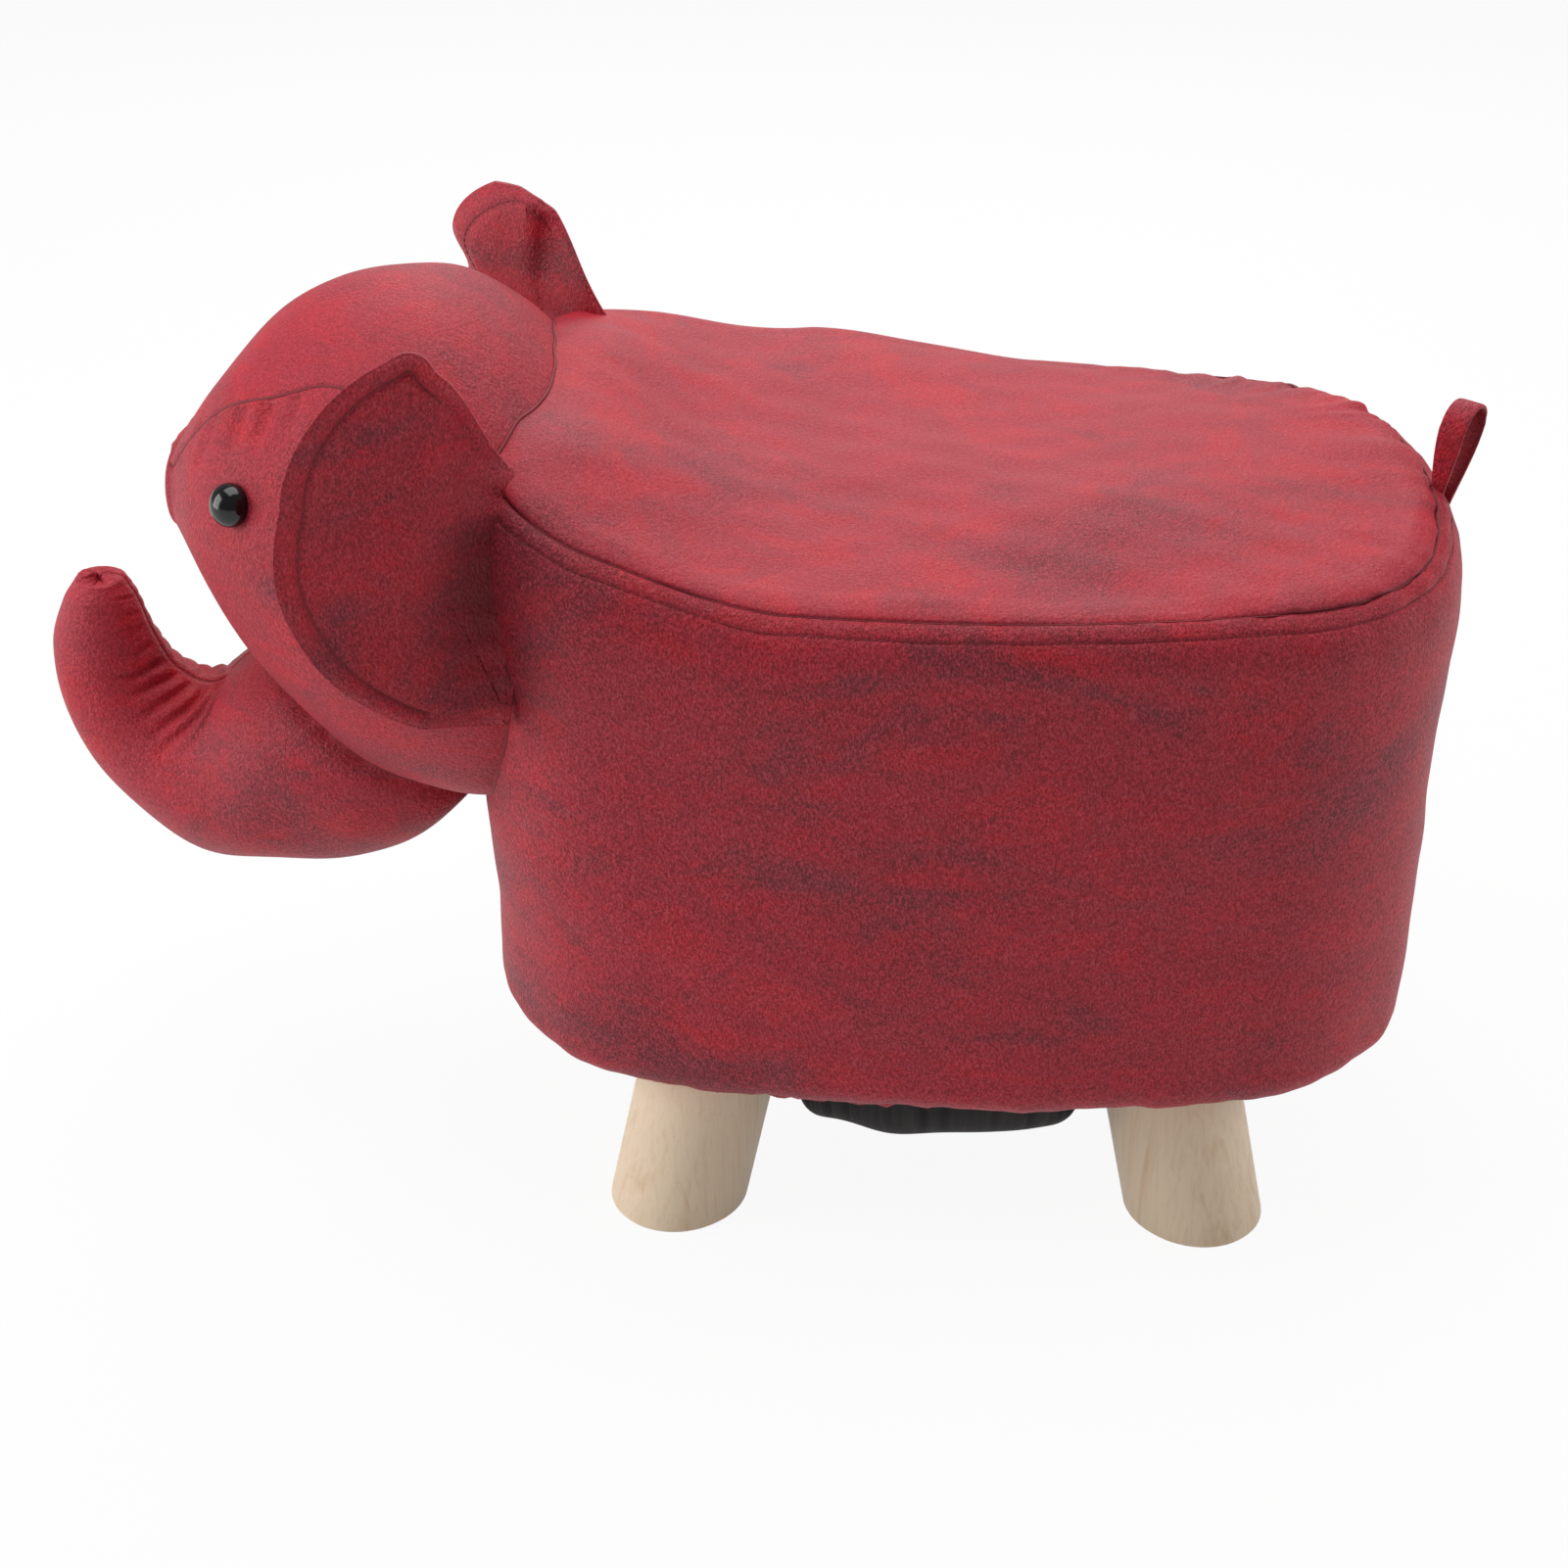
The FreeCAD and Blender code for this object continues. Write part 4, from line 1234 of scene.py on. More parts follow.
def ear_flap(side):
    """Stuffed flap: two panels, pinched at the hem, gathered at its root."""
    rim, flat, depth = ear_rings(300)
    u, v, w = ear_surface(flat, depth, side)
    thick = ear_thickness(u, depth)
    hemmed = smooth(rim[:, 0], *hemmed_start)
    crease = hem_crease * hump(depth, hem_place, hem_crease_width) * hemmed
    forward, lean, outward = ear_frame(side)
    root = np.array(ear_root) * (1, side, 1) + outward * ear_depth / 2
    front = (u[..., None] * forward + v[..., None] * lean + (w - crease)[..., None] * outward)
    back = front - outward * thick[..., None]
    mid_shift = outward * ((ear_depth - thick) / 2)[..., None]
    front = root + front - mid_shift * layer_share
    back = root + back - mid_shift * layer_share
    hem = rim[:, 0] > hem_start
    for face, lift in ((front, hem_lift), (back, -hem_lift)):
        hem_lines.setdefault(side, []).append(shifted(face[hem_ring, hem] + outward * lift))
    grid = np.concatenate([front[::-1], back])
    # Painted shade in the hollow by the root, carried with the hem's sewn line in the sewn mark
    shade = painted_shade_mark * hump(flat[..., 0], shade_place[0], shade_size[0]) \
        * hump(flat[..., 1], shade_place[1], shade_size[1])
    line = np.maximum(hem_mark * sewn_mark(depth - hem_place, hem_mark_width) * hemmed, shade)
    name = "ear_flap_left" if side < 0 else "ear_flap_right"
    return closed_object(name, shifted(grid), np.concatenate([line[::-1], line]))


# Tail

tail_foot = 0.006
loop_half_width = 0.0072
loop_top_gap = 0.0025
loop_open_turn = 0.05
loop_fall_power = 0.62
loop_foot_gap = 0.0009
strap_half_width = 0.0058
strap_half_depth = 0.0010
strap_corner_powers = (0.35, 0.7)
strap_points = 24
foot_width_share = 0.36
full_width_height = 0.034
twist_at_foot = math.radians(40)
twist_rate = 4
lean_at_foot = -0.005
lean_rate = 0.13
# Painted shade on the inner face of the loop: how dark, and where across the strap's depth it
# starts and is full
inner_painted_shade = 0.85
inner_shade_start = 0.2
inner_shade_full = 0.8


def strap_path():
    """Middle of the strap, up one leg of the loop, over and down the other."""
    high = tail_height - loop_top_gap - loop_half_width
    path = []
    for turn in np.linspace(-0.5 * math.pi + loop_open_turn, 1.5 * math.pi - loop_open_turn,
                            64):
        x, z = loop_half_width * math.cos(turn), high + loop_half_width * math.sin(turn)
        if math.sin(turn) < 0:
            fall = -math.sin(turn)
            z = high - (high + tail_foot) * fall
            x = math.copysign(loop_half_width * (1 - fall) ** loop_fall_power + loop_foot_gap,
                              math.cos(turn))
        path.append((x, z))
    return np.array(path)


def tail_strap():
    """Folded strip sewn into the seam as a standing loop, a little twisted."""
    path = strap_path()
    ahead = unit_rows(np.gradient(path, axis=0))
    out = np.stack([ahead[:, 1], -ahead[:, 0]], axis=1)
    corners = []
    for turn in np.linspace(0, 2 * math.pi, strap_points, endpoint=False):
        c, s = math.cos(turn), math.sin(turn)
        corners.append((math.copysign(abs(c) ** strap_corner_powers[0], c) * strap_half_width,
                        math.copysign(abs(s) ** strap_corner_powers[1], s) * strap_half_depth))
    grid = []
    for (x, z), (ox, oz) in zip(path, out):
        narrow = foot_width_share + (1 - foot_width_share) * float(
            smooth(z, -tail_foot, full_width_height))
        grid.append([(x + ox * t, y * narrow, z + oz * t) for y, t in corners])
    grid = np.array(grid)
    ends = [np.repeat(grid[[k]].mean(axis=1, keepdims=True), strap_points, axis=1)
            for k in (0, -1)]
    grid = np.concatenate([ends[0], grid, ends[1]])
    twist = twist_at_foot + grid[..., 2] * twist_rate
    x, y, z = grid[..., 0], grid[..., 1], grid[..., 2]
    lean = lean_at_foot + lean_rate * np.clip(z, 0, None)
    turned = np.stack([x * np.cos(twist) - y * np.sin(twist) + lean,
                       x * np.sin(twist) + y * np.cos(twist), z], axis=-1)
    # Painted shade: the inner face of the loop darkened through the sewn mark
    inner = np.array([inner_painted_shade * float(smooth(-t, inner_shade_start * strap_half_depth,
                                                inner_shade_full * strap_half_depth))
                      for _, t in corners])
    shade = np.broadcast_to(inner, grid.shape[:2])
    return closed_object("tail_strap", shifted(turned + np.array(tail_root)), shade)


# Stitches and closed seams

stitch_pitch = 0.0034
stitch_length = 0.0025
thread_radius = 0.00032
closed_seam_radius = 0.0004
seam_lift = 0.0004
seat_seam_drop = 0.0005
head_seam_radius = 0.00070
seat_seam_radius = 0.00030


def laying_tree(name, measures, result):
    """Node tree, still empty, that takes a path, measures and a thread; and its input node."""
    tree = bpy.data.node_groups.new(name, "GeometryNodeTree")
    face = tree.interface
    face.new_socket("Path", in_out="INPUT", socket_type="NodeSocketGeometry")
    for label, value in measures:
        socket = face.new_socket(label, in_out="INPUT", socket_type="NodeSocketFloat")
        socket.default_value = value
    face.new_socket("Thread", in_out="INPUT", socket_type="NodeSocketMaterial")
    face.new_socket(result, in_out="OUTPUT", socket_type="NodeSocketGeometry")
    return tree, tree.nodes.new("NodeGroupInput")


def give_laid(tree, start, laid, result):
    """Let a tree give what it has laid as plain geometry in the thread's material."""
    solid = tree.nodes.new("GeometryNodeRealizeInstances")
    paint = tree.nodes.new("GeometryNodeSetMaterial")
    end = tree.nodes.new("NodeGroupOutput")
    tree.links.new(laid, solid.inputs["Geometry"])
    tree.links.new(solid.outputs["Geometry"], paint.inputs["Geometry"])
    tree.links.new(start.outputs["Thread"], paint.inputs["Material"])
    tree.links.new(paint.outputs["Geometry"], end.inputs[result])
    return tree


def stitch_tree():
    """Node tree that lays thread stitches along a curve."""
    tree, start = laying_tree("thread_stitches", (
        ("Pitch", stitch_pitch), ("Stitch length", stitch_length),
        ("Thread radius", thread_radius)), "Stitches")
    new = tree.nodes.new
    link = tree.links.new
    points = new("GeometryNodeCurveToPoints")
    points.mode = "LENGTH"
    ball = new("GeometryNodeMeshUVSphere")
    ball.inputs["Segments"].default_value = 8
    ball.inputs["Rings"].default_value = 6
    ball.inputs["Radius"].default_value = 1.0
    half = new("ShaderNodeMath")
    half.operation = "MULTIPLY"
    half.inputs[1].default_value = 0.5
    scale = new("ShaderNodeCombineXYZ")
    place = new("GeometryNodeInstanceOnPoints")
    link(start.outputs["Path"], points.inputs["Curve"])
    link(start.outputs["Pitch"], points.inputs["Length"])
    link(start.outputs["Stitch length"], half.inputs[0])
    link(start.outputs["Thread radius"], scale.inputs["X"])
    link(start.outputs["Thread radius"], scale.inputs["Y"])
    link(half.outputs[0], scale.inputs["Z"])
    link(points.outputs["Points"], place.inputs["Points"])
    link(points.outputs["Rotation"], place.inputs["Rotation"])
    link(ball.outputs["Mesh"], place.inputs["Instance"])
    link(scale.outputs[0], place.inputs["Scale"])
    return give_laid(tree, start, place.outputs["Instances"], "Stitches")


def seam_tree():
    """Node tree that lays a thin sunken cord along a curve, for a closed seam."""
    tree, start = laying_tree("closed_seam", (("Seam radius", closed_seam_radius),), "Seam")
    ring = tree.nodes.new("GeometryNodeCurvePrimitiveCircle")
    ring.inputs["Resolution"].default_value = 6
    tube = tree.nodes.new("GeometryNodeCurveToMesh")
    tube.inputs["Fill Caps"].default_value = True
    tree.links.new(start.outputs["Seam radius"], ring.inputs["Radius"])
    tree.links.new(start.outputs["Path"], tube.inputs["Curve"])
    tree.links.new(ring.outputs["Curve"], tube.inputs["Profile Curve"])
    return give_laid(tree, start, tube.outputs["Mesh"], "Seam")


def laid_along(name, lines, tree, values, loops=()):
    """One plain mesh of what a node tree lays along the lines; loops are closed lines."""
    curve = bpy.data.curves.new(name + "_path", "CURVE")
    curve.dimensions = "3D"
    for line, closed in [(line, False) for line in lines] + [(line, True) for line in loops]:
        spline = curve.splines.new("POLY")
        spline.points.add(len(line) - 1)
        flat = np.concatenate([line, np.ones((len(line), 1))], axis=1)
        spline.points.foreach_set("co", flat.ravel())
        spline.use_cyclic_u = closed
    path = bpy.data.objects.new(name + "_path", curve)
    bpy.context.scene.collection.objects.link(path)
    modifier = path.modifiers.new("laid", "NODES")
    modifier.node_group = tree
    for item in tree.interface.items_tree:
        if item.in_out == "INPUT" and item.name in values:
            modifier[item.identifier] = values[item.name]
    bpy.context.view_layer.update()
    ready = path.evaluated_get(bpy.context.evaluated_depsgraph_get())
    mesh = bpy.data.meshes.new_from_object(ready)
    mesh.name = name
    piece = bpy.data.objects.new(name, mesh)
    bpy.context.scene.collection.objects.link(piece)
    bpy.data.objects.remove(path)
    return piece


# Shader groups

value_socket = "NodeSocketFloat"
colour_socket = "NodeSocketColor"
vector_socket = "NodeSocketVector"


def shader_group(name, *inputs):
    """Group that gives a colour, a roughness and a height at a place, and its two end nodes."""
    group = bpy.data.node_groups.new(name, "ShaderNodeTree")
    for label, kind, value in (("Vector", vector_socket, (0, 0, 0)), *inputs):
        socket = group.interface.new_socket(label, in_out="INPUT", socket_type=kind)
        socket.default_value = value
    for label, kind in (("Color", colour_socket), ("Roughness", value_socket),
                        ("Height", value_socket)):
        group.interface.new_socket(label, in_out="OUTPUT", socket_type=kind)
    return group, group.nodes.new("NodeGroupInput"), group.nodes.new("NodeGroupOutput")


def noise(tree, vector, scale, detail=3.0, roughness=0.55, distortion=0.0):
    node = tree.nodes.new("ShaderNodeTexNoise")
    node.inputs["Detail"].default_value = detail
    node.inputs["Roughness"].default_value = roughness
    node.inputs["Distortion"].default_value = distortion
    if isinstance(scale, (int, float)):
        node.inputs["Scale"].default_value = scale
    else:
        tree.links.new(scale, node.inputs["Scale"])
    tree.links.new(vector, node.inputs["Vector"])
    return node.outputs["Fac"]


def stretched(tree, vector, scale):
    node = tree.nodes.new("ShaderNodeMapping")
    node.inputs["Scale"].default_value = scale
    tree.links.new(vector, node.inputs["Vector"])
    return node.outputs["Vector"]


def ramp(tree, value, low, high, to_low=0.0, to_high=1.0):
    node = tree.nodes.new("ShaderNodeMapRange")
    node.interpolation_type = "SMOOTHSTEP"
    for label, number_value in (("From Min", low), ("From Max", high),
                                ("To Min", to_low), ("To Max", to_high)):
        node.inputs[label].default_value = number_value
    tree.links.new(value, node.inputs["Value"])
    return node.outputs["Result"]


def blend_colour(tree, factor, a, b, mode="MIX"):
    node = tree.nodes.new("ShaderNodeMix")
    node.data_type = "RGBA"
    node.blend_type = mode
    for value, socket in ((factor, node.inputs[0]), (a, node.inputs[6]), (b, node.inputs[7])):
        if isinstance(value, (int, float)):
            socket.default_value = value
        elif isinstance(value, tuple):
            socket.default_value = (*value, 1.0)
        else:
            tree.links.new(value, socket)
    return node.outputs[2]


def math_node(tree, operation, a, b):
    node = tree.nodes.new("ShaderNodeMath")
    node.operation = operation
    for value, socket in ((a, node.inputs[0]), (b, node.inputs[1])):
        if isinstance(value, (int, float)):
            socket.default_value = value
        else:
            tree.links.new(value, socket)
    return node.outputs[0]


def scaled(tree, value, share):
    return math_node(tree, "MULTIPLY", value, share)


def pattern(tree, vector, stretch, values):
    """Stretched noise; values are its scale, detail, roughness and distortion."""
    return noise(tree, stretched(tree, vector, stretch), *values)


# Patterns in the leather, the ranges in which each one shows, and how strongly
patch_pattern = ((0.50, 0.50, 1.10), (17.0, 5.0, 0.60, 0.8))
mottle_pattern = ((0.6, 0.6, 1.3), (52.0, 5.0, 0.64, 0.8))
fibre_pattern = ((1.25, 1.25, 0.65), (1050.0, 2.0, 0.60, 0.6))
pore_pattern = (1200.0, 2.0, 0.6)
patch_range = (0.45, 0.68)
mottle_range = (0.46, 0.70)
mottle_share = 0.45
speckle_range = (0.36, 0.64)
speckle_least = 0.45
nap_range = (0.46, 0.62)
bright_range = (0.55, 0.32)
bright_share = 0.90
rubbed_fibre_range = (0.46, 0.33)
rubbed_fibre_share = 0.50
rubbed_pore_range = (0.54, 0.70)
rubbed_pore_share = 0.25
sewn_and_shade_share = 0.85
leather_roughness = 0.40
fibre_roughness = 0.28
cell_height = -0.6
fibre_height = 0.7
pore_height = 0.35


def aged_leather_group():
    """Mottled artificial leather: bright red, greyed patches, nap, rubbed pores, grain, painted
    shade.
    """
    group, start, end = shader_group(
        "aged_leather",
        ("Red", colour_socket, (0.46, 0.020, 0.040, 1)),
        ("Bright red", colour_socket, (0.58, 0.014, 0.028, 1)),
        ("Worn and shaded", colour_socket, (0.19, 0.026, 0.038, 1)),
        ("Rubbed", colour_socket, (0.52, 0.080, 0.110, 1)),
        ("Seam and shade colour", colour_socket, (0.15, 0.006, 0.011, 1)),
        ("Nap", value_socket, 0.8),
        ("Wear and shade", value_socket, 0.5),
        ("Sewn and shade", value_socket, 0.0),
        ("Grain size", value_socket, 560.0))
    vector = start.outputs["Vector"]
    patches = pattern(group, vector, *patch_pattern)
    mottle = pattern(group, vector, *mottle_pattern)
    fibres = pattern(group, vector, *fibre_pattern)
    pores = noise(group, vector, *pore_pattern)
    # Greyed patches as random tone; on the side's copy their larger amount is painted shade
    worn_and_shaded_places = math_node(group, "ADD", ramp(group, patches, *patch_range),
                            scaled(group, ramp(group, mottle, *mottle_range), mottle_share))
    worn_and_shaded_places = math_node(group, "MULTIPLY", worn_and_shaded_places, start.outputs["Wear and shade"])
    speckle = math_node(group, "ADD", speckle_least, ramp(group, fibres, *speckle_range))
    worn_and_shaded_places = math_node(group, "MULTIPLY", worn_and_shaded_places, speckle)
    bright = scaled(group, ramp(group, mottle, *bright_range), bright_share)
    nap = math_node(group, "MULTIPLY", ramp(group, fibres, *nap_range), start.outputs["Nap"])
    bare_fibres = scaled(group, ramp(group, fibres, *rubbed_fibre_range), rubbed_fibre_share)
    bare_pores = scaled(group, ramp(group, pores, *rubbed_pore_range), rubbed_pore_share)
    # Sewn lines, and on the ear and the tail painted shade, mixed in the seam colour
    sewn_and_shade = scaled(group, start.outputs["Sewn and shade"], sewn_and_shade_share)
    colour = start.outputs["Red"]
    for mask, over in ((bright, "Bright red"), (ramp(group, worn_and_shaded_places, 0.0, 1.0), "Worn and shaded"),
                       (nap, "Seam and shade colour"), (bare_fibres, "Rubbed"), (bare_pores, "Rubbed"),
                       (sewn_and_shade, "Seam and shade colour")):
        colour = blend_colour(group, mask, colour, start.outputs[over])
    group.links.new(colour, end.inputs["Color"])
    rough = math_node(group, "ADD", leather_roughness, scaled(group, fibres, fibre_roughness))
    group.links.new(rough, end.inputs["Roughness"])
    cells = group.nodes.new("ShaderNodeTexVoronoi")
    cells.feature = "SMOOTH_F1"
    group.links.new(start.outputs["Grain size"], cells.inputs["Scale"])
    group.links.new(vector, cells.inputs["Vector"])
    height = math_node(group, "ADD", scaled(group, cells.outputs["Distance"], cell_height),
                       scaled(group, fibres, fibre_height))
    height = math_node(group, "ADD", height, scaled(group, pores, pore_height))
    group.links.new(height, end.inputs["Height"])
    return group


# Patterns in the pine, in the same order
long_grain_pattern = ((1, 1, 0.035), (520.0, 4.0, 0.6, 0.3))
band_pattern = ((1, 1, 0.06), (110.0, 3.0, 0.55, 0.9))
fleck_pattern = ((1, 1, 0.12), (1500.0, 2.0, 0.5))
grain_range = (0.45, 0.75)
grain_share = 0.35
band_range = (0.50, 0.72)
band_share = 0.45
fleck_range = (0.62, 0.78)
fleck_share = 0.4
pine_roughness = 0.48
pine_roughness_rise = 0.2


def pine_group():
    """Pale pine: fine long grain, soft growth bands and small flecks."""
    group, start, end = shader_group(
        "pale_pine",
        ("Pale", colour_socket, (0.95, 0.77, 0.56, 1)),
        ("Dark", colour_socket, (0.76, 0.52, 0.31, 1)))
    vector = start.outputs["Vector"]
    long_grain = pattern(group, vector, *long_grain_pattern)
    bands = pattern(group, vector, *band_pattern)
    flecks = pattern(group, vector, *fleck_pattern)
    tone = math_node(group, "ADD",
                     scaled(group, ramp(group, long_grain, *grain_range), grain_share),
                     scaled(group, ramp(group, bands, *band_range), band_share))
    tone = math_node(group, "ADD", tone,
                     scaled(group, ramp(group, flecks, *fleck_range), fleck_share))
    group.links.new(blend_colour(group, tone, start.outputs["Pale"], start.outputs["Dark"]),
                    end.inputs["Color"])
    rough = math_node(group, "ADD", pine_roughness, scaled(group, tone, pine_roughness_rise))
    group.links.new(rough, end.inputs["Roughness"])
    group.links.new(long_grain, end.inputs["Height"])
    return group


# Mottling of the quieter materials
broad_pattern = (40.0, 4.0)
fine_detail = 2.0
shade_range = (0.35, 0.65)
roughness_stray = 0.15


def plain_group():
    """Any quieter material: one colour with soft mottling and a fine texture."""
    group, start, end = shader_group(
        "quiet_finish",
        ("Base", colour_socket, (0.5, 0.5, 0.5, 1)),
        ("Shade", colour_socket, (0.4, 0.4, 0.4, 1)),
        ("Roughness", value_socket, 0.5),
        ("Texture scale", value_socket, 900.0))
    vector = start.outputs["Vector"]
    broad = noise(group, vector, *broad_pattern)
    fine = noise(group, vector, start.outputs["Texture scale"], fine_detail)
    tone = scaled(group, math_node(group, "ADD", broad, fine), 0.5)
    colour = blend_colour(group, ramp(group, tone, *shade_range), start.outputs["Base"],
                          start.outputs["Shade"])
    group.links.new(colour, end.inputs["Color"])
    rough = math_node(group, "ADD", start.outputs["Roughness"],
                      scaled(group, math_node(group, "SUBTRACT", fine, 0.5), roughness_stray))
    group.links.new(rough, end.inputs["Roughness"])
    group.links.new(fine, end.inputs["Height"])
    return group


def material(name, group, values, bump, distance, constants=()):
    """Material whose colour, roughness and relief come from one of the groups."""
    made = bpy.data.materials.new(name)
    made.use_nodes = True
    tree = made.node_tree
    shader = tree.nodes["Principled BSDF"]
    place = tree.nodes.new("ShaderNodeTexCoord")
    effect = tree.nodes.new("ShaderNodeGroup")
    effect.node_tree = group
    tree.links.new(place.outputs["Object"], effect.inputs["Vector"])
    # The piece's sewn mark: its seam lines, and on the ear and the tail painted shade
    if "Sewn and shade" in effect.inputs:
        mark = tree.nodes.new("ShaderNodeAttribute")
        mark.attribute_name = "sewn_and_shade"
        tree.links.new(mark.outputs["Fac"], effect.inputs["Sewn and shade"])
    for label, value in values.items():
        effect.inputs[label].default_value = value
    relief = tree.nodes.new("ShaderNodeBump")
    relief.inputs["Strength"].default_value = bump
    relief.inputs["Distance"].default_value = distance
    tree.links.new(effect.outputs["Height"], relief.inputs["Height"])
    tree.links.new(relief.outputs["Normal"], shader.inputs["Normal"])
    tree.links.new(effect.outputs["Color"], shader.inputs["Base Color"])
    tree.links.new(effect.outputs["Roughness"], shader.inputs["Roughness"])
    for label, value in constants:
        shader.inputs[label].default_value = value
    return made


leather_group = aged_leather_group()
wood_group = pine_group()
quiet_group = plain_group()

leather_gloss = (("IOR", 1.40),)
leather_relief = 0.0008


def leather(name, wear_and_shade, nap, bump):
    return material(name, leather_group, {"Wear and shade": wear_and_shade, "Nap": nap}, bump, leather_relief,
                    leather_gloss)


seat_leather = leather("seat_leather", 0.50, 0.34, 0.75)
# The side's copy has a larger wear amount than the seat's: painted shade, the side darker than the
# top lit from above
shaded_side_leather = leather("shaded_side_leather", 0.72, 0.70, 0.85)
head_leather = leather("head_leather", 0.52, 0.50, 0.85)
ear_leather = leather("ear_leather", 0.75, 0.65, 0.80)
red_thread = material("red_thread", quiet_group, {
    "Base": (0.26, 0.012, 0.022, 1), "Shade": (0.18, 0.010, 0.016, 1), "Roughness": 0.6,
    "Texture scale": 2500.0}, 0.5, 0.0002)
pine = material("pine", wood_group, {}, 0.25, 0.0002)
plywood = material("plywood", wood_group, {
    "Pale": (0.62, 0.44, 0.27, 1), "Dark": (0.48, 0.31, 0.17, 1)}, 0.3, 0.0003)
black_cloth = material("black_cloth", quiet_group, {
    "Base": (0.016, 0.014, 0.014, 1), "Shade": (0.028, 0.024, 0.024, 1), "Roughness": 0.85,
    "Texture scale": 1400.0}, 0.6, 0.0004)
black_gloss = material("black_gloss", quiet_group, {
    "Base": (0.004, 0.004, 0.004, 1), "Shade": (0.006, 0.006, 0.007, 1), "Roughness": 0.16},
    0.02, 0.0001, (("Coat Weight", 0.35), ("Coat Roughness", 0.03), ("IOR", 1.36)))
white_plastic = material("white_plastic", quiet_group, {
    "Base": (0.82, 0.82, 0.79, 1), "Shade": (0.74, 0.74, 0.72, 1), "Roughness": 0.45}, 0.1, 0.0001)
zinc = material("zinc", quiet_group, {
    "Base": (0.66, 0.66, 0.64, 1), "Shade": (0.50, 0.50, 0.49, 1), "Roughness": 0.38},
    0.15, 0.0001, (("Metallic", 1.0),))
foam = material("foam", quiet_group, {
    "Base": (0.83, 0.76, 0.55, 1), "Shade": (0.75, 0.67, 0.46, 1), "Roughness": 0.95}, 0.8, 0.0006)
filling = material("filling", quiet_group, {
    "Base": (0.86, 0.86, 0.84, 1), "Shade": (0.76, 0.76, 0.75, 1), "Roughness": 0.95}, 0.9, 0.001)
hardboard = material("hardboard", quiet_group, {
    "Base": (0.30, 0.19, 0.10, 1), "Shade": (0.23, 0.14, 0.08, 1), "Roughness": 0.8}, 0.4, 0.0003)

slot_materials = {
    "cover_red": shaded_side_leather, "dust_black": black_cloth, "foam": foam, "filling": filling,
    "plywood": plywood, "hardboard": hardboard, "pine": pine, "zinc_steel": zinc,
    "eye_black": black_gloss, "washer_white": white_plastic,
}
for entry in frame["record"]["subparts"]:
    carried = nodes[entry["node"]]
    carried.data.materials.clear()
    carried.data.materials.append(slot_materials[entry["material_slot"]])


# Pieces on their bodies

def finish_piece(piece, body, slot, dress, *replaced):
    """Dress a piece and set it on its body; body is None for a piece whose place is baked into its
    points afterwards.
    """
    piece.data.materials.clear()
    piece.data.materials.append(dress)
    if body:
        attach(piece, body)
    if replaced:
        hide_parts(*replaced)
    return piece


seat = finish_piece(seat_top(), "stool", "cover_red", seat_leather, "seat_panel", "seat_foam")
side_shell, topstitch_line = side_cover()
side = finish_piece(side_shell, "stool", "cover_red", shaded_side_leather, "side_panel", "side_foam")
finish_piece(hem_band(), "stool", "cover_red", shaded_side_leather, "hem")
sheet = finish_piece(dust_sheet(), "stool", "dust_black", black_cloth, "dust_cover")
crown_piece = finish_piece(crown(), "stool", "cover_red", head_leather, "head_crown_panel",
                           "head_filling")
head_pieces = [crown_piece]
for name, way in (("left", -1), ("right", 1)):
    cheek_piece = finish_piece(cheek(way), "stool", "cover_red", head_leather,
                               "head_side_panel_" + name)
    head_pieces.append(cheek_piece)
    finish_piece(eye_dome(way), "stool", "eye_black", black_gloss, "eye_" + name)
    trunk_piece = finish_piece(trunk_half(way, crown_piece, cheek_piece), "stool", "cover_red",
                               head_leather,
                               "trunk_panel_" + name, *(["trunk_filling"] if way < 0 else []))
    flap = finish_piece(ear_flap(way), None, "cover_red", ear_leather,
                        f"ear_{name}_front_panel", f"ear_{name}_wadding",
                        f"ear_{name}_back_panel")
    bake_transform(flap)
strap = finish_piece(tail_strap(), None, "cover_red", shaded_side_leather, "tail_loop")
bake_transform(strap)

# Seams and topstitching
body_skin = skin_tree(seat, side)
head_skin = skin_tree(*head_pieces)
left_neck, crown_neck, right_neck = (meeting_line(cheek_skins[way][0], body_skin)
                                     for way in (-1, 0, 1))
seam_lines.append(np.vstack([left_neck[::-1], crown_neck, right_neck]) + (0, 0, seam_lift))
seam_lines += [meeting_line(trunk_skins[way], head_skin) for way in (-1, 1)]
seam_loops.append(shifted(seam_line[:-1]) - (0, 0, seat_seam_drop))
closing_tree = seam_tree()
for label, lines, loops, radius in (("head_seams", seam_lines, (), head_seam_radius),
                                    ("seat_seam", (), seam_loops, seat_seam_radius)):
    closed_seam = laid_along(label, lines, closing_tree,
                             {"Seam radius": radius, "Thread": red_thread}, loops)
    finish_piece(closed_seam, "stool", "cover_red", red_thread)
thread_tree = stitch_tree()
topstitch = laid_along("seat_topstitch", [], thread_tree, {"Thread": red_thread},
                       [topstitch_line[:-1]])
finish_piece(topstitch, "stool", "cover_red", red_thread)
for name, way in (("left", -1), ("right", 1)):
    hem_stitch = laid_along("ear_topstitch_" + name, hem_lines[way], thread_tree,
                            {"Thread": red_thread})
    finish_piece(hem_stitch, "ear_" + name, "cover_red", red_thread)

# Floor, light and camera

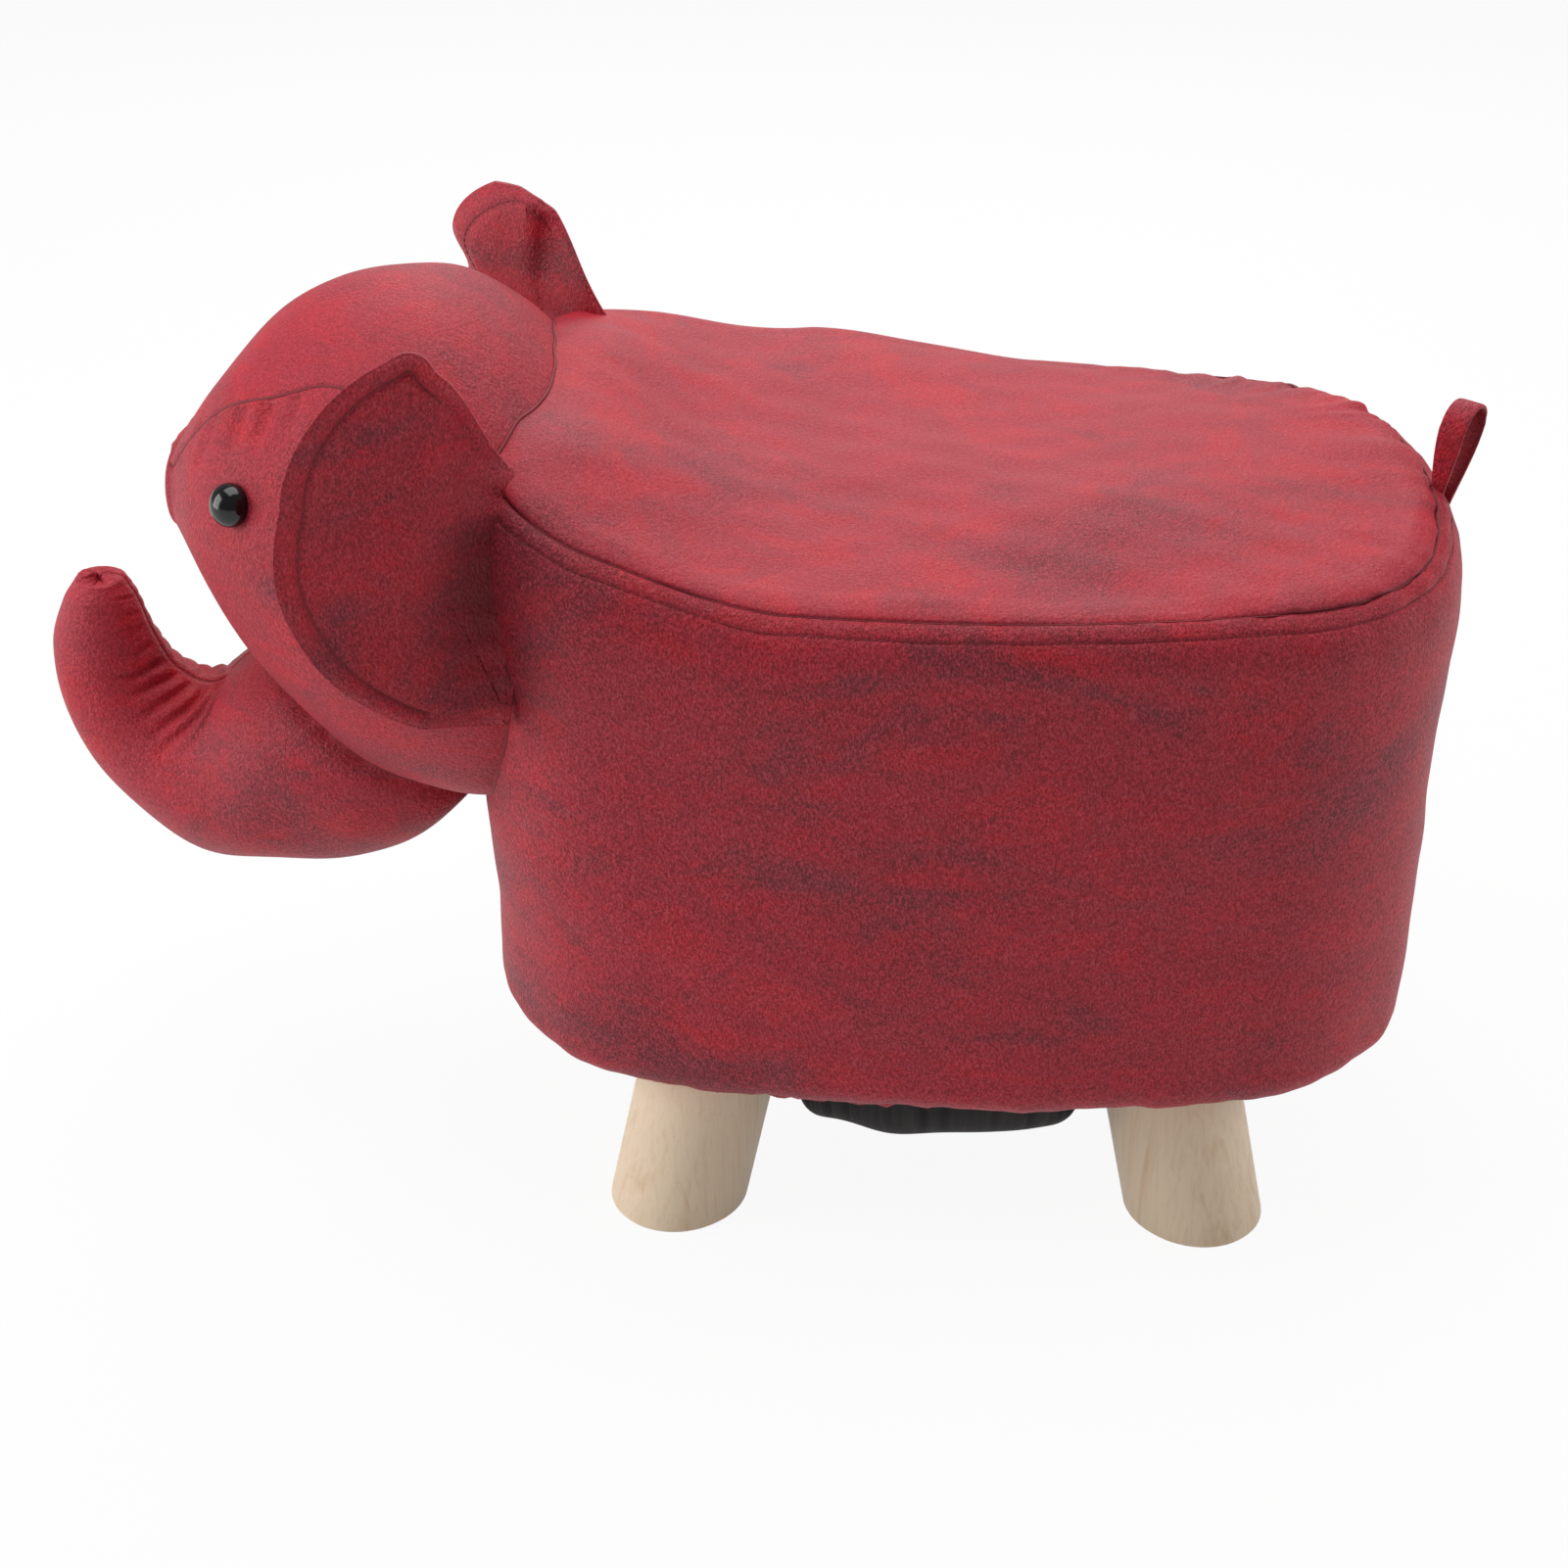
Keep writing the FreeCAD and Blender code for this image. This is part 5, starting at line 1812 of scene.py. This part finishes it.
target = Vector((0.01633, 0.0, 0.1545))
azimuth = math.radians(2.5)
elevation = math.radians(30.9)
camera_distance = 1.137
camera_lens = 58.64
camera_sensor = 36
back = Vector((math.sin(azimuth) * math.cos(elevation), -math.cos(azimuth) * math.cos(elevation),
               math.sin(elevation)))
camera_data = bpy.data.cameras.new("camera")
camera_data.lens = camera_lens
camera_data.sensor_width = camera_sensor
camera = bpy.data.objects.new("camera", camera_data)
camera.location = target + back * camera_distance
camera.rotation_euler = (-back).to_track_quat("-Z", "Y").to_euler()
bpy.context.scene.collection.objects.link(camera)
bpy.context.scene.camera = camera


def area_light(name, place, aim, size, power):
    data = bpy.data.lights.new(name, "AREA")
    data.shape = "RECTANGLE"
    data.size, data.size_y = size
    data.energy = power
    lamp = bpy.data.objects.new(name, data)
    lamp.location = place
    lamp.rotation_euler = (Vector(aim) - Vector(place)).to_track_quat("-Z", "Y").to_euler()
    bpy.context.scene.collection.objects.link(lamp)


# Softboxes: place, width and height, watts
lamp_aim = (0.0, 0.0, 0.2)
softboxes = {
    "top_softbox": ((-0.15, 0.20, 1.7), (1.5, 1.2), 18),
    "far_softbox": ((0.10, 1.55, 1.05), (1.6, 0.8), 10),
    "left_softbox": ((-1.6, -0.30, 0.70), (0.9, 1.2), 15),
    "right_softbox": ((1.6, 0.10, 0.65), (0.8, 1.0), 6),
}
for name, (place, size, power) in softboxes.items():
    area_light(name, place, lamp_aim, size, power)

room_light = 0.22
world = bpy.data.worlds.new("studio")
world.use_nodes = True
world.node_tree.nodes["Background"].inputs["Color"].default_value = (1, 1, 1, 1)
world.node_tree.nodes["Background"].inputs["Strength"].default_value = room_light
bpy.context.scene.world = world

paper_white = (0.88, 0.88, 0.88, 1)
paper_roughness = 0.9
paper_glow_share = 0.93


def floor_material():
    """White paper floor that shows white to the camera and in reflections, with soft shadows."""
    made = bpy.data.materials.new("white_paper")
    made.use_nodes = True
    tree = made.node_tree
    shader = tree.nodes["Principled BSDF"]
    shader.inputs["Base Color"].default_value = paper_white
    shader.inputs["Roughness"].default_value = paper_roughness
    glow = tree.nodes.new("ShaderNodeEmission")
    glow.inputs["Strength"].default_value = 1.0
    seen = tree.nodes.new("ShaderNodeLightPath")
    both = math_node(tree, "MAXIMUM", seen.outputs["Is Camera Ray"], seen.outputs["Is Glossy Ray"])
    every = math_node(tree, "MAXIMUM", both, seen.outputs["Is Transmission Ray"])
    share = scaled(tree, every, paper_glow_share)
    mix = tree.nodes.new("ShaderNodeMixShader")
    tree.links.new(share, mix.inputs[0])
    tree.links.new(shader.outputs[0], mix.inputs[1])
    tree.links.new(glow.outputs[0], mix.inputs[2])
    tree.links.new(mix.outputs[0], tree.nodes["Material Output"].inputs["Surface"])
    return made


floor_reach = 6.0
floor_corners = [(x * floor_reach, y * floor_reach, 0)
                 for x, y in ((-1, -1), (1, -1), (1, 1), (-1, 1))]
floor_mesh = bpy.data.meshes.new("floor")
floor_mesh.from_pydata(floor_corners, [], [(0, 1, 2, 3)])
floor_mesh.materials.append(floor_material())
floor = bpy.data.objects.new("floor", floor_mesh)
bpy.context.scene.collection.objects.link(floor)

bpy.context.scene.view_settings.view_transform = "Standard"
